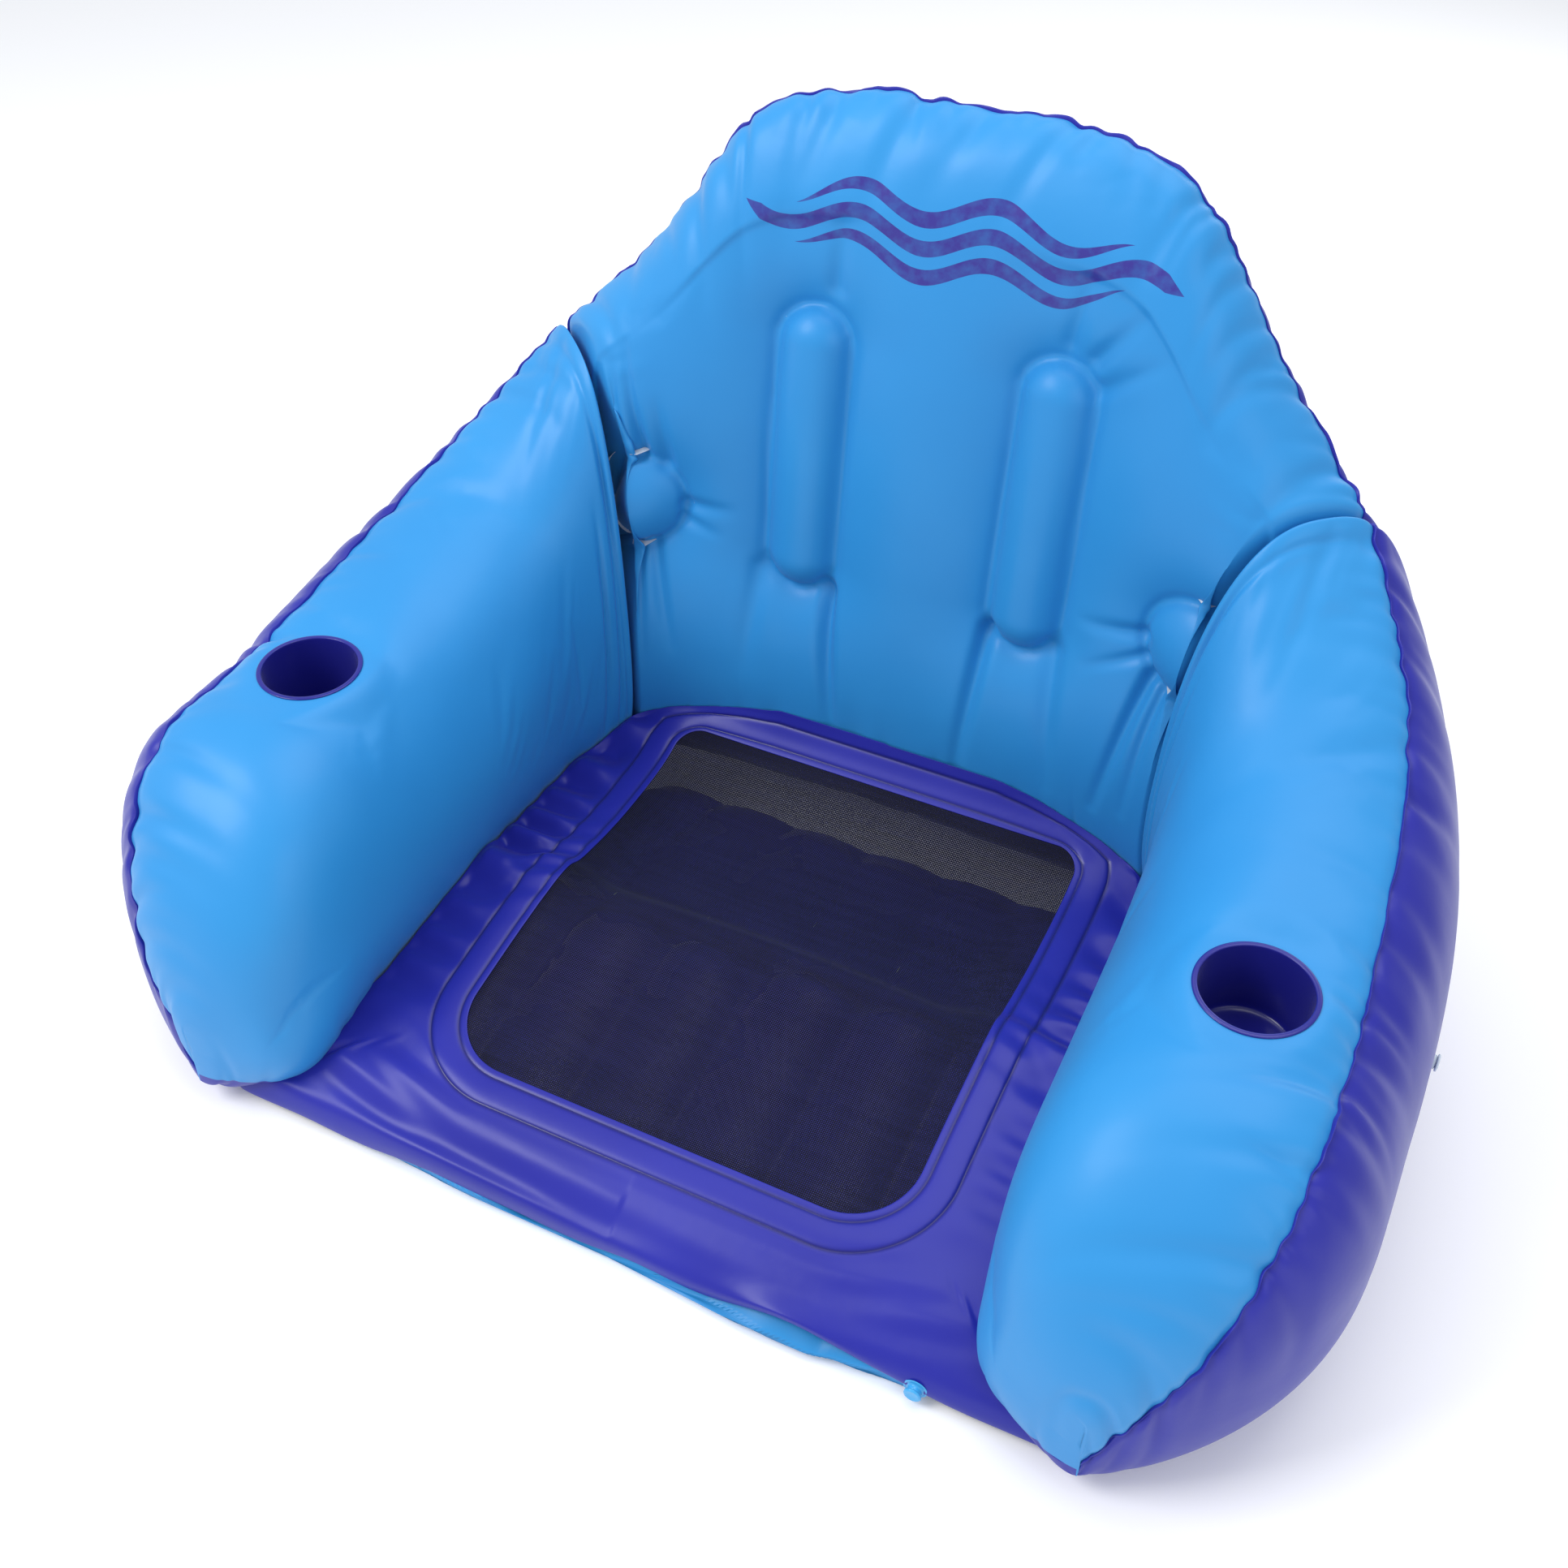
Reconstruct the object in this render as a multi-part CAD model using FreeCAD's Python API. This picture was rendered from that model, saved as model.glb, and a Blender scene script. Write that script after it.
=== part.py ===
"""Inflatable lounge chair for a pool: two arms and a backrest round a net seat.

Units are millimetres. +Z is up, +Y points to the back of the chair, +X to the sitter's left.
The origin is on the floor, in the middle of the chair's width and depth.
Each air chamber is made of thin films: a light inner panel and a dark outer panel that meet at a rim
weld above and at a foot weld below.
"""
import FreeCAD, Part
import math
import os
from FreeCAD import Rotation, Vector

# ---- films and gaps
FILM = 0.9
WELD_GAP = 0.3
SEAT_CLEARANCE = 0.5

# ---- arms and backrest, at the air-filled size
INNER_HALF_WIDTH = 302.0
ARM_WIDTH = 258.0
ARM_HEIGHT = 309.0
CORNER_WIDTH = 292.0
CORNER_HEIGHT = 488.0
BACK_THICKNESS = 250.0
BACK_HEIGHT = 726.0
BACK_LEAN = 0.13
BACK_TAPER = 0.5
CORNER_LEAN = 0.05
CORNER_TAPER = 0.34
BACK_FOOT_Y = 550.0
TIP_Y = 4.0
TIP_FROM_SEAT = 108.0
TIP_HEIGHT = 70.0
TIP_LIFT = 26.0
TIP_ROUND = 180.0
SECTION_POWER = 2.6
FOOT_SHARE = 0.14
ARM_RIM_SHARE = 0.78
CORNER_RIM_SHARE = 0.72
BACK_RIM_SHARE = 0.52
VALVE_RIM_SHARE = 0.74
BEND_RIM_SHARE = 0.75
NOSE_SEAM_ANGLE = -25.0
NOSE_SEAM_GROWTH = 0.75
SECTION_STEPS = 12
CUTS_PER_STATION = 3

# ---- drink holders
CUP_FROM_SEAT = 123.0
CUP_Y = 260.0
CUP_BORE = 84.0
CUP_DEPTH = 68.0
CUP_WALL = 1.6
CUP_LIP = 3.0
CUP_LIP_HEIGHT = 2.0
CUP_X = INNER_HALF_WIDTH + CUP_FROM_SEAT

# ---- net seat
SEAT_FRONT_Y = 22.0
SEAT_REAR_Y = BACK_FOOT_Y + 25.0
SEAT_RIDGE_Y = 312.0
SEAT_RIDGE_HEIGHT = 99.0
SEAT_REAR_HEIGHT = 116.0
APRON_HEIGHT = 34.0
APRON_HEM_HEIGHT = 13.0
SHEET = 0.8
SHEET_GAP = 0.2
NET_FRONT_Y = 106.0
NET_REAR_Y = BACK_FOOT_Y + 16.0
NET_SIDE_BORDER = 84.0
NET_HALF_WIDTH = INNER_HALF_WIDTH - NET_SIDE_BORDER
NET_CORNER = 62.0
NET_WELD = 22.0
RING_WIDTH = 8.0

# ---- seat cushion under the net
CUSHION_SIDE_GAP = 12.0
CUSHION_HALF_WIDTH = INNER_HALF_WIDTH - CUSHION_SIDE_GAP
CUSHION_FRONT_Y = SEAT_FRONT_Y + 4.0
CUSHION_REAR_Y = BACK_FOOT_Y + 2.0
BOLSTER_HEIGHT = 86.0
CHANNELS = 6
VALLEY_SHARE = 0.72
EDGE_POWER = 30.0
# share of the cushion's depth, of its height and of its width
CUSHION_PROFILE = ((0.0, 0.06, 1.0), (0.02, 0.36, 1.0), (0.10, 0.54, 1.0), (0.28, 0.76, 1.0),
                   (0.44, 0.94, 1.0), (0.53, 1.0, 1.0), (0.59, 0.72, 1.0), (0.66, 0.52, 1.0),
                   (0.80, 0.48, 0.98), (0.93, 0.44, 0.91), (0.985, 0.30, 0.86), (1.0, 0.06, 0.84))

# ---- ties inside the backrest
TIE_RADIUS = 32.0
TIE_X = 113.0
TIE_LOW = 285.0
TIE_HIGH = 560.0
ROUND_TIE_RADIUS = 44.0
CORNER_IN = 40.0
ROUND_TIE_X = INNER_HALF_WIDTH - CORNER_IN
ROUND_TIE_HEIGHT = 340.0
TIE_GAP = 0.6

# ---- air valves
VALVE_FLANGE_RADIUS = 14.0
SEAT_VALVE_FLANGE_RADIUS = 10.5
VALVE_STEM_RADIUS = 6.0
VALVE_BORE_RADIUS = 4.2
VALVE_FLANGE = 1.0
VALVE_STEM_OUT = 4.0
VALVE_STEM_IN = 12.0
PLUG_CLEARANCE = 0.3
PLUG_HEAD_RADIUS = 7.5
PLUG_HEAD = 2.5
PLUG_REACH = 9.0
FLAP = 0.6
FLAP_OVERLAP = 0.9
ARM_VALVE_Y = 385.0
SEAT_VALVE_X = CUSHION_HALF_WIDTH - 14.0
SEAT_VALVE_HEIGHT = 14.0


class Station:
    """One upright cut across a chamber: where its inner foot is, which way it faces and its size."""

    def __init__(self, x, y, turn, width, height, seam, lean=0.0, taper=0.0, lift=0.0):
        self.x = x
        self.y = y
        self.turn = turn
        self.width = width
        self.height = height
        self.seam = seam
        self.lean = lean
        self.taper = taper
        self.lift = lift

    def outward(self):
        """Unit vector from the sitter to the outer wall."""
        angle = math.radians(self.turn)
        return Vector(math.cos(angle), math.sin(angle), 0)

    def along(self):
        """Unit vector along the chamber, from the arm's tip to the backrest."""
        angle = math.radians(self.turn)
        return Vector(-math.sin(angle), math.cos(angle), 0)

    def shifted(self, distance):
        """The same cut, moved along the chamber."""
        step = self.along() * distance
        return Station(self.x + step.x, self.y + step.y, self.turn, self.width, self.height,
                       self.seam, self.lean, self.taper, self.lift)

    def mirrored(self):
        """The same cut on the other side of the chair."""
        return Station(-self.x, self.y, 180.0 - self.turn, self.width, self.height,
                       self.seam, self.lean, self.taper, self.lift)

    def point(self, angle, inset):
        """Point of the section at an angle: 0 outer wall, 90 top, 180 inner wall, 270 underside."""
        power = 2.0 / SECTION_POWER
        across = math.cos(math.radians(angle))
        upward = math.sin(math.radians(angle))
        half_width = self.width / 2.0
        half_height = self.height / 2.0
        level = half_height + math.copysign(abs(upward) ** power, upward) * (half_height - inset)
        half_width *= 1.0 - self.taper * level / self.height
        reach = half_width + math.copysign(abs(across) ** power, across) * (half_width - inset)
        spot = Vector(self.x, self.y, level + self.lift)
        return spot + self.outward() * (reach + self.lean * level)

    def foot_angle(self):
        """Angle of the foot weld, low on the inner wall."""
        sine = (1.0 - 2.0 * FOOT_SHARE) ** (SECTION_POWER / 2.0)
        return 180.0 + math.degrees(math.asin(sine))


def spline(points):
    """Smooth open curve through points."""
    curve = Part.BSplineCurve()
    curve.interpolate(points)
    return curve.toShape()


def spread(start, end, steps):
    """Evenly spaced values from start to end."""
    return [start + (end - start) * step / steps for step in range(steps + 1)]


def ribbon(outer, inner):
    """Closed thin outline between two rows of points."""
    edges = [spline(outer), Part.makeLine(outer[-1], inner[-1])]
    edges += [spline(inner[::-1]), Part.makeLine(inner[0], outer[0])]
    return Part.Wire(edges)


def film_outline(station, start, end):
    """Outline of the film between two angles of a section."""
    angles = spread(start, end, SECTION_STEPS)
    outer = [station.point(angle, 0.0) for angle in angles]
    inner = [station.point(angle, FILM) for angle in angles]
    return ribbon(outer, inner)


def weld_step(station):
    """Angle that leaves half a weld gap at a panel's edge."""
    return math.degrees(WELD_GAP / min(station.width, station.height))


def between(values, share):
    """Smooth value between the middle two of four values."""
    before, start, end, after = values
    slope_in = (end - before) / 2.0
    slope_out = (after - start) / 2.0
    cubic = 2.0 * (start - end) + slope_in + slope_out
    square = 3.0 * (end - start) - 2.0 * slope_in - slope_out
    return start + share * (slope_in + share * (square + share * cubic))


def refined(stations):
    """The stations with smooth cuts put in between them."""
    last = len(stations) - 1
    cuts = []
    for index in range(last):
        four = [stations[max(0, min(last, index + step))] for step in (-1, 0, 1, 2)]
        rows = [[cut.x, cut.y, cut.turn, cut.width, cut.height, cut.seam, cut.lean, cut.taper, cut.lift]
                for cut in four]
        for step in range(CUTS_PER_STATION):
            cuts.append(Station(*[between(row, step / CUTS_PER_STATION) for row in zip(*rows)]))
    return cuts + [stations[last]]


def light_panel(stations):
    """Inner and top panel: from the foot weld over the inner wall to the rim weld."""
    wires = []
    for station in refined(stations):
        step = weld_step(station)
        wires.append(film_outline(station, station.foot_angle() - step, station.seam + step))
    return Part.makeLoft(wires, True, True)


def dark_panel(stations):
    """Outer panel: from the rim weld down the outer wall and under to the foot weld."""
    wires = []
    for station in refined(stations):
        step = weld_step(station)
        start = station.seam - step
        wires.append(film_outline(station, start, station.foot_angle() - 360.0 + step))
    return Part.makeLoft(wires, True, True)


def section_outline(station, inset):
    """Whole closed section, smaller by inset or larger where inset is negative."""
    upper = [station.point(angle, inset) for angle in spread(0.0, 180.0, 2 * SECTION_STEPS)]
    lower = [station.point(angle, inset) for angle in spread(180.0, 360.0, 2 * SECTION_STEPS)]
    return Part.Wire([spline(upper), spline(lower)])


def envelope(stations, inset):
    """Solid body of a chamber, smaller by inset or larger where inset is negative."""
    return Part.makeLoft([section_outline(station, inset) for station in refined(stations)], True, True)


def blend(low, high, share):
    """Value between two values."""
    return low + (high - low) * share


def seam_at(share):
    """Angle of a rim weld that lies on the top face at a share of the section's width."""
    offset = 2.0 * share - 1.0
    return math.degrees(math.acos(math.copysign(abs(offset) ** (SECTION_POWER / 2.0), offset)))


def arm_stations():
    """Cuts along the right-hand arm (+X), from the tip to the corner."""
    stations = []
    tip_width = 4.0 * FILM
    tip_x = INNER_HALF_WIDTH + TIP_FROM_SEAT
    for share in (0.0, 0.06, 0.16, 0.34, 0.6, 0.85):
        fullness = math.sqrt(1.0 - (1.0 - share) ** 2)
        inner = blend(tip_x, INNER_HALF_WIDTH, math.sqrt(1.0 - (1.0 - share) ** 4) if share else 0.0)
        outer = blend(tip_x + tip_width, INNER_HALF_WIDTH + ARM_WIDTH, fullness ** 1.4)
        height = blend(TIP_HEIGHT, ARM_HEIGHT, fullness ** 1.15)
        seam = blend(NOSE_SEAM_ANGLE, seam_at(ARM_RIM_SHARE), fullness ** NOSE_SEAM_GROWTH)
        lift = TIP_LIFT * (1.0 - fullness)
        stations.append(Station(inner, TIP_Y + share * TIP_ROUND, 0.0, outer - inner, height, seam, lift=lift))
    stations.append(Station(INNER_HALF_WIDTH, CUP_Y, 0.0, ARM_WIDTH, ARM_HEIGHT, seam_at(ARM_RIM_SHARE)))
    valve_height = blend(ARM_HEIGHT, CORNER_HEIGHT, 0.12)
    stations.append(Station(INNER_HALF_WIDTH, ARM_VALVE_Y, 0.0, ARM_WIDTH, valve_height,
                            seam_at(VALVE_RIM_SHARE)))
    bend_y = blend(ARM_VALVE_Y, BACK_FOOT_Y, 0.58)
    stations.append(Station(INNER_HALF_WIDTH - 10.0, bend_y, 16.0, blend(ARM_WIDTH, CORNER_WIDTH, 0.3),
                            blend(ARM_HEIGHT, CORNER_HEIGHT, 0.42), seam_at(BEND_RIM_SHARE),
                            0.4 * CORNER_LEAN, 0.4 * CORNER_TAPER))
    return stations


def corner_station():
    """The cut where the arm meets the backrest."""
    return Station(INNER_HALF_WIDTH - CORNER_IN, BACK_FOOT_Y - 8.0, 40.0, CORNER_WIDTH, CORNER_HEIGHT,
                   seam_at(CORNER_RIM_SHARE), CORNER_LEAN, CORNER_TAPER)


def back_stations():
    """Cuts along the backrest from its right corner to its left corner."""
    half = [corner_station().shifted(FILM / 2.0 + WELD_GAP)]
    for across, turn, grown in ((0.72, 58.0, 0.34), (0.50, 72.0, 0.86), (0.25, 82.0, 1.0)):
        height = blend(CORNER_HEIGHT, BACK_HEIGHT, grown)
        width = blend(CORNER_WIDTH, BACK_THICKNESS, grown)
        seam = blend(seam_at(CORNER_RIM_SHARE), seam_at(BACK_RIM_SHARE), grown)
        lean = blend(CORNER_LEAN, BACK_LEAN, grown)
        taper = blend(CORNER_TAPER, BACK_TAPER, grown)
        half.append(Station(across * INNER_HALF_WIDTH, BACK_FOOT_Y, turn, width, height, seam, lean, taper))
    middle = Station(0.0, BACK_FOOT_Y, 90.0, BACK_THICKNESS, BACK_HEIGHT, seam_at(BACK_RIM_SHARE), BACK_LEAN,
                     BACK_TAPER)
    return half + [middle] + [station.mirrored() for station in reversed(half)]


def rear_reach():
    """How far back the backrest, or the plug of its valve, reaches."""
    reaches = []
    for station in refined(back_stations()):
        reaches += [station.point(angle, 0.0).y for angle in spread(-90.0, 90.0, 90)]
    plug_top = VALVE_STEM_OUT + PLUG_CLEARANCE + PLUG_HEAD
    return max(max(reaches), back_stations()[4].point(0.0, 0.0).y + plug_top)


DEPTH_SHIFT = -(TIP_Y + rear_reach()) / 2.0


def upright_ring(outline, inner_outline, start_y, end_y):
    """Tube of film along Y between two outlines drawn in the XZ plane."""
    run = Vector(0, end_y - start_y, 0)
    return Part.Face(outline).extrude(run).cut(Part.Face(inner_outline).extrude(run))


def stadium(x, low, high, radius, y):
    """Upright stadium outline in the XZ plane."""
    left_low = Vector(x - radius, y, low)
    right_low = Vector(x + radius, y, low)
    left_high = Vector(x - radius, y, high)
    right_high = Vector(x + radius, y, high)
    top = Part.Arc(left_high, Vector(x, y, high + radius), right_high).toShape()
    bottom = Part.Arc(right_low, Vector(x, y, low - radius), left_low).toShape()
    sides = [Part.makeLine(left_low, left_high), Part.makeLine(right_high, right_low)]
    return Part.Wire([sides[0], top, sides[1], bottom])


def circle(x, z, radius, y):
    """Circle in the XZ plane."""
    edge = Part.Circle(Vector(x, y, z), Vector(0, 1, 0), radius).toShape()
    return Part.Wire([edge])


def seat_profile():
    """Height of the seat sheet's top face along the chair, from the apron's hem to the back."""
    rise = SEAT_RIDGE_Y - SEAT_FRONT_Y
    return [Vector(0, SEAT_FRONT_Y, APRON_HEM_HEIGHT),
            Vector(0, SEAT_FRONT_Y + 0.04 * rise, APRON_HEIGHT),
            Vector(0, SEAT_FRONT_Y + 0.17 * rise, blend(APRON_HEIGHT, SEAT_RIDGE_HEIGHT, 0.33)),
            Vector(0, SEAT_FRONT_Y + 0.45 * rise, blend(APRON_HEIGHT, SEAT_RIDGE_HEIGHT, 0.62)),
            Vector(0, SEAT_FRONT_Y + 0.78 * rise, blend(APRON_HEIGHT, SEAT_RIDGE_HEIGHT, 0.90)),
            Vector(0, SEAT_RIDGE_Y, SEAT_RIDGE_HEIGHT),
            Vector(0, blend(SEAT_RIDGE_Y, SEAT_REAR_Y, 0.5), SEAT_RIDGE_HEIGHT),
            Vector(0, SEAT_REAR_Y + 20.0, SEAT_REAR_HEIGHT)]


def seat_layer(depth, half_width):
    """Sheet under the seat's top face, with its top at a depth below it."""
    top = [spot - Vector(half_width, 0, depth) for spot in seat_profile()]
    bottom = [spot - Vector(0, 0, SHEET) for spot in top]
    return Part.Face(ribbon(top, bottom)).extrude(Vector(2.0 * half_width, 0, 0))


def window(margin):
    """Upright prism of the net's rounded outline, larger by a margin."""
    width = 2.0 * (NET_HALF_WIDTH + margin)
    depth = NET_REAR_Y - NET_FRONT_Y + 2.0 * margin
    block = Part.makeBox(width, depth, BACK_HEIGHT, Vector(-width / 2.0, NET_FRONT_Y - margin, 0))
    upright = [edge for edge in block.Edges if abs(edge.tangentAt(edge.FirstParameter).z) > 0.5]
    return block.makeFillet(NET_CORNER + margin, upright)


def largest(shape):
    """The largest solid of a shape."""
    return max(shape.Solids, key=lambda solid: solid.Volume)


def channel_outline(y, height, half_width):
    """Outline of the cushion's top film across the chair at one place."""
    top = []
    bottom = []
    base = FILM + WELD_GAP
    for share in spread(-1.0, 1.0, 4 * CHANNELS):
        edge = max(0.0, 1.0 - abs(share) ** EDGE_POWER)
        wave = abs(math.sin(math.pi * CHANNELS * (share + 1.0) / 2.0))
        level = base + edge * height * blend(VALLEY_SHARE, 1.0, wave)
        top.append(Vector(share * half_width, y, level + FILM))
        bottom.append(Vector(share * (half_width - FILM), y, level))
    return ribbon(top, bottom)


def cushion_y(share):
    """Place along the cushion."""
    return blend(CUSHION_FRONT_Y, CUSHION_REAR_Y, share)


def cushion_top():
    """Channelled top film of the seat cushion: a wedge bolster in front and a flatter floor behind."""
    height = BOLSTER_HEIGHT - 2.0 * FILM - WELD_GAP
    wires = []
    for share, level, width in CUSHION_PROFILE:
        wires.append(channel_outline(cushion_y(share), level * height, width * CUSHION_HALF_WIDTH))
    return Part.makeLoft(wires, True, True)


def cushion_bottom():
    """Flat bottom film of the seat cushion."""
    right = [Vector(width * CUSHION_HALF_WIDTH, cushion_y(share), 0) for share, level, width in CUSHION_PROFILE]
    left = [Vector(-spot.x, spot.y, 0) for spot in reversed(right)]
    return Part.Face(Part.makePolygon(right + left + [right[0]])).extrude(Vector(0, 0, FILM))


def cushion_rib(index):
    """Upright film under one valley of the cushion."""
    share = -1.0 + 2.0 * index / CHANNELS
    edge = 1.0 - abs(share) ** EDGE_POWER
    height = BOLSTER_HEIGHT - 2.0 * FILM - WELD_GAP
    x = share * CUSHION_HALF_WIDTH - FILM / 2.0
    base = FILM + WELD_GAP
    upper = []
    for place, level, width in CUSHION_PROFILE[1:-2]:
        top = base + edge * level * height * VALLEY_SHARE - WELD_GAP
        upper.append(Vector(x, cushion_y(place), top))
    lower = [Vector(x, upper[-1].y, base), Vector(x, upper[0].y, base)]
    outline = Part.makePolygon(upper + lower + [upper[0]])
    return Part.Face(outline).extrude(Vector(FILM, 0, 0))


def cup_holder():
    """Moulded drink holder, with its lip on the arm's top film."""
    outer = CUP_BORE / 2.0 + CUP_WALL
    spot = Vector(CUP_X, CUP_Y, ARM_HEIGHT + CUP_LIP_HEIGHT - CUP_DEPTH - CUP_WALL)
    body = Part.makeCylinder(outer, CUP_DEPTH + CUP_WALL, spot)
    lip_spot = Vector(CUP_X, CUP_Y, ARM_HEIGHT + WELD_GAP)
    body = body.fuse(Part.makeCylinder(outer + CUP_LIP, CUP_LIP_HEIGHT - WELD_GAP, lip_spot))
    bore = Part.makeCylinder(CUP_BORE / 2.0, CUP_DEPTH, spot + Vector(0, 0, CUP_WALL))
    return body.cut(bore)


def cup_hole():
    """Cutter for the hole in the arm's top film that the drink holder hangs in, with room for its lip."""
    radius = CUP_BORE / 2.0 + CUP_WALL + WELD_GAP
    hole = Part.makeCylinder(radius, ARM_HEIGHT, Vector(CUP_X, CUP_Y, ARM_HEIGHT / 2.0))
    return hole.fuse(Part.makeCylinder(radius + CUP_LIP, ARM_HEIGHT, Vector(CUP_X, CUP_Y, ARM_HEIGHT)))


def placed(shape, spot, axis):
    """Move a shape drawn along +Z so that it stands on a spot along an axis."""
    shape.Placement = FreeCAD.Placement(spot, Rotation(Vector(0, 0, 1), axis))
    return shape


def valve_body(flange_radius):
    """Valve flange with its stem, drawn with the film's outer face at zero."""
    shape = Part.makeCylinder(flange_radius, VALVE_FLANGE, Vector(0, 0, -VALVE_FLANGE))
    length = VALVE_STEM_IN + VALVE_STEM_OUT
    shape = shape.fuse(Part.makeCylinder(VALVE_STEM_RADIUS, length, Vector(0, 0, -VALVE_STEM_IN)))
    return shape.cut(Part.makeCylinder(VALVE_BORE_RADIUS, length, Vector(0, 0, -VALVE_STEM_IN)))


def valve_plug():
    """Stopper that closes the stem."""
    stem = VALVE_BORE_RADIUS - PLUG_CLEARANCE
    head = VALVE_STEM_OUT + PLUG_CLEARANCE
    shape = Part.makeCylinder(stem, PLUG_REACH, Vector(0, 0, head - PLUG_REACH))
    return shape.fuse(Part.makeCylinder(PLUG_HEAD_RADIUS, PLUG_HEAD, Vector(0, 0, head)))


def valve_flap():
    """Check flap that shuts the stem's inner end."""
    radius = VALVE_BORE_RADIUS + FLAP_OVERLAP
    return Part.makeCylinder(radius, FLAP, Vector(0, 0, -VALVE_STEM_IN - PLUG_CLEARANCE - FLAP))


def valve_nodes(name, spot, axis, flange_radius):
    """The three pieces of one valve."""
    return {name + "_valve_body": placed(valve_body(flange_radius), spot, axis),
            name + "_valve_plug": placed(valve_plug(), spot, axis),
            name + "_valve_flap": placed(valve_flap(), spot, axis)}


def valve_hole(spot, axis, radius):
    """Cutter for the film round a valve."""
    cutter = Part.makeCylinder(radius + WELD_GAP, 6.0 * VALVE_STEM_IN, Vector(0, 0, -3.0 * VALVE_STEM_IN))
    return placed(cutter, spot, axis)


def mirror(shape):
    """The same shape on the other side of the chair."""
    return shape.mirror(Vector(0, 0, 0), Vector(1, 0, 0))


def build():
    """All pieces by name, before the origin is moved to the middle of the depth."""
    corner = corner_station()
    arm = arm_stations() + [corner.shifted(-FILM / 2.0 - WELD_GAP)]
    back = back_stations()
    arm_valve = Vector(INNER_HALF_WIDTH + ARM_WIDTH, ARM_VALVE_Y, arm[-3].height / 2.0)
    middle = back[4]
    back_valve = middle.point(0.0, 0.0)
    seat_valve = Vector(SEAT_VALVE_X, SEAT_FRONT_Y - VALVE_FLANGE, SEAT_VALVE_HEIGHT)

    arm_light = light_panel(arm).cut(cup_hole())
    arm_dark = dark_panel(arm).cut(valve_hole(arm_valve, Vector(1, 0, 0), VALVE_FLANGE_RADIUS))
    back_light = light_panel(back)
    back_dark = dark_panel(back).cut(valve_hole(back_valve, Vector(0, 1, 0), VALVE_FLANGE_RADIUS))

    nodes = {}
    nodes["right_arm_inner_panel"] = arm_light
    nodes["left_arm_inner_panel"] = mirror(arm_light)
    nodes["right_arm_outer_panel"] = arm_dark
    nodes["left_arm_outer_panel"] = mirror(arm_dark)
    nodes["backrest_front_panel"] = back_light
    nodes["backrest_rear_panel"] = back_dark

    face = Part.Face(section_outline(corner.shifted(-FILM / 2.0), FILM + WELD_GAP))
    bulkhead = face.extrude(corner.along() * FILM)
    nodes["right_bulkhead"] = bulkhead
    nodes["left_bulkhead"] = mirror(bulkhead)

    hollow = envelope(back, FILM + TIE_GAP)
    near = BACK_FOOT_Y - BACK_THICKNESS / 2.0
    far = BACK_FOOT_Y + 2.0 * BACK_THICKNESS
    long_tie = upright_ring(stadium(TIE_X, TIE_LOW, TIE_HIGH, TIE_RADIUS, near),
                            stadium(TIE_X, TIE_LOW, TIE_HIGH, TIE_RADIUS - FILM, near), near, far)
    long_tie = largest(long_tie.common(hollow))
    round_tie = upright_ring(circle(ROUND_TIE_X, ROUND_TIE_HEIGHT, ROUND_TIE_RADIUS, near),
                             circle(ROUND_TIE_X, ROUND_TIE_HEIGHT, ROUND_TIE_RADIUS - FILM, near), near, far)
    round_tie = largest(round_tie.common(hollow))
    nodes["right_long_tie"] = long_tie
    nodes["left_long_tie"] = mirror(long_tie)
    nodes["right_round_tie"] = round_tie
    nodes["left_round_tie"] = mirror(round_tie)

    blocks = [envelope(arm_stations() + [corner.shifted(FILM / 2.0 + WELD_GAP)], -SEAT_CLEARANCE)]
    blocks += [mirror(blocks[0]), envelope(back, -SEAT_CLEARANCE)]
    seat_cutter = valve_hole(seat_valve, Vector(0, -1, 0), SEAT_VALVE_FLANGE_RADIUS)
    sheet = seat_layer(0.0, INNER_HALF_WIDTH + 40.0).cut(window(0.0)).cut(seat_cutter)
    for block in blocks:
        sheet = sheet.cut(block)
    nodes["seat_border"] = largest(sheet)
    step = SHEET + SHEET_GAP
    net = seat_layer(step, INNER_HALF_WIDTH).common(window(NET_WELD))
    ring = seat_layer(2.0 * step, INNER_HALF_WIDTH).common(window(NET_WELD))
    ring = ring.cut(window(NET_WELD - RING_WIDTH))
    for block in blocks:
        net = net.cut(block)
        ring = ring.cut(block)
    nodes["seat_net"] = largest(net)
    nodes["seat_weld_ring"] = largest(ring)

    stem_cutter = valve_hole(seat_valve, Vector(0, -1, 0), VALVE_STEM_RADIUS)
    nodes["cushion_top"] = largest(cushion_top().cut(stem_cutter))
    nodes["cushion_bottom"] = cushion_bottom()
    for index in range(1, CHANNELS):
        nodes["cushion_rib_%d" % index] = cushion_rib(index)

    cup = cup_holder()
    nodes["right_drink_holder"] = cup
    nodes["left_drink_holder"] = mirror(cup)

    nodes.update(valve_nodes("right_arm", arm_valve, Vector(1, 0, 0), VALVE_FLANGE_RADIUS))
    left_valve = Vector(-arm_valve.x, arm_valve.y, arm_valve.z)
    nodes.update(valve_nodes("left_arm", left_valve, Vector(-1, 0, 0), VALVE_FLANGE_RADIUS))
    nodes.update(valve_nodes("back", back_valve, Vector(0, 1, 0), VALVE_FLANGE_RADIUS))
    nodes.update(valve_nodes("seat", seat_valve, Vector(0, -1, 0), SEAT_VALVE_FLANGE_RADIUS))
    places = {"right_arm": arm_valve, "left_arm": left_valve, "back": back_valve, "seat": seat_valve}
    return nodes, places


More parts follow.
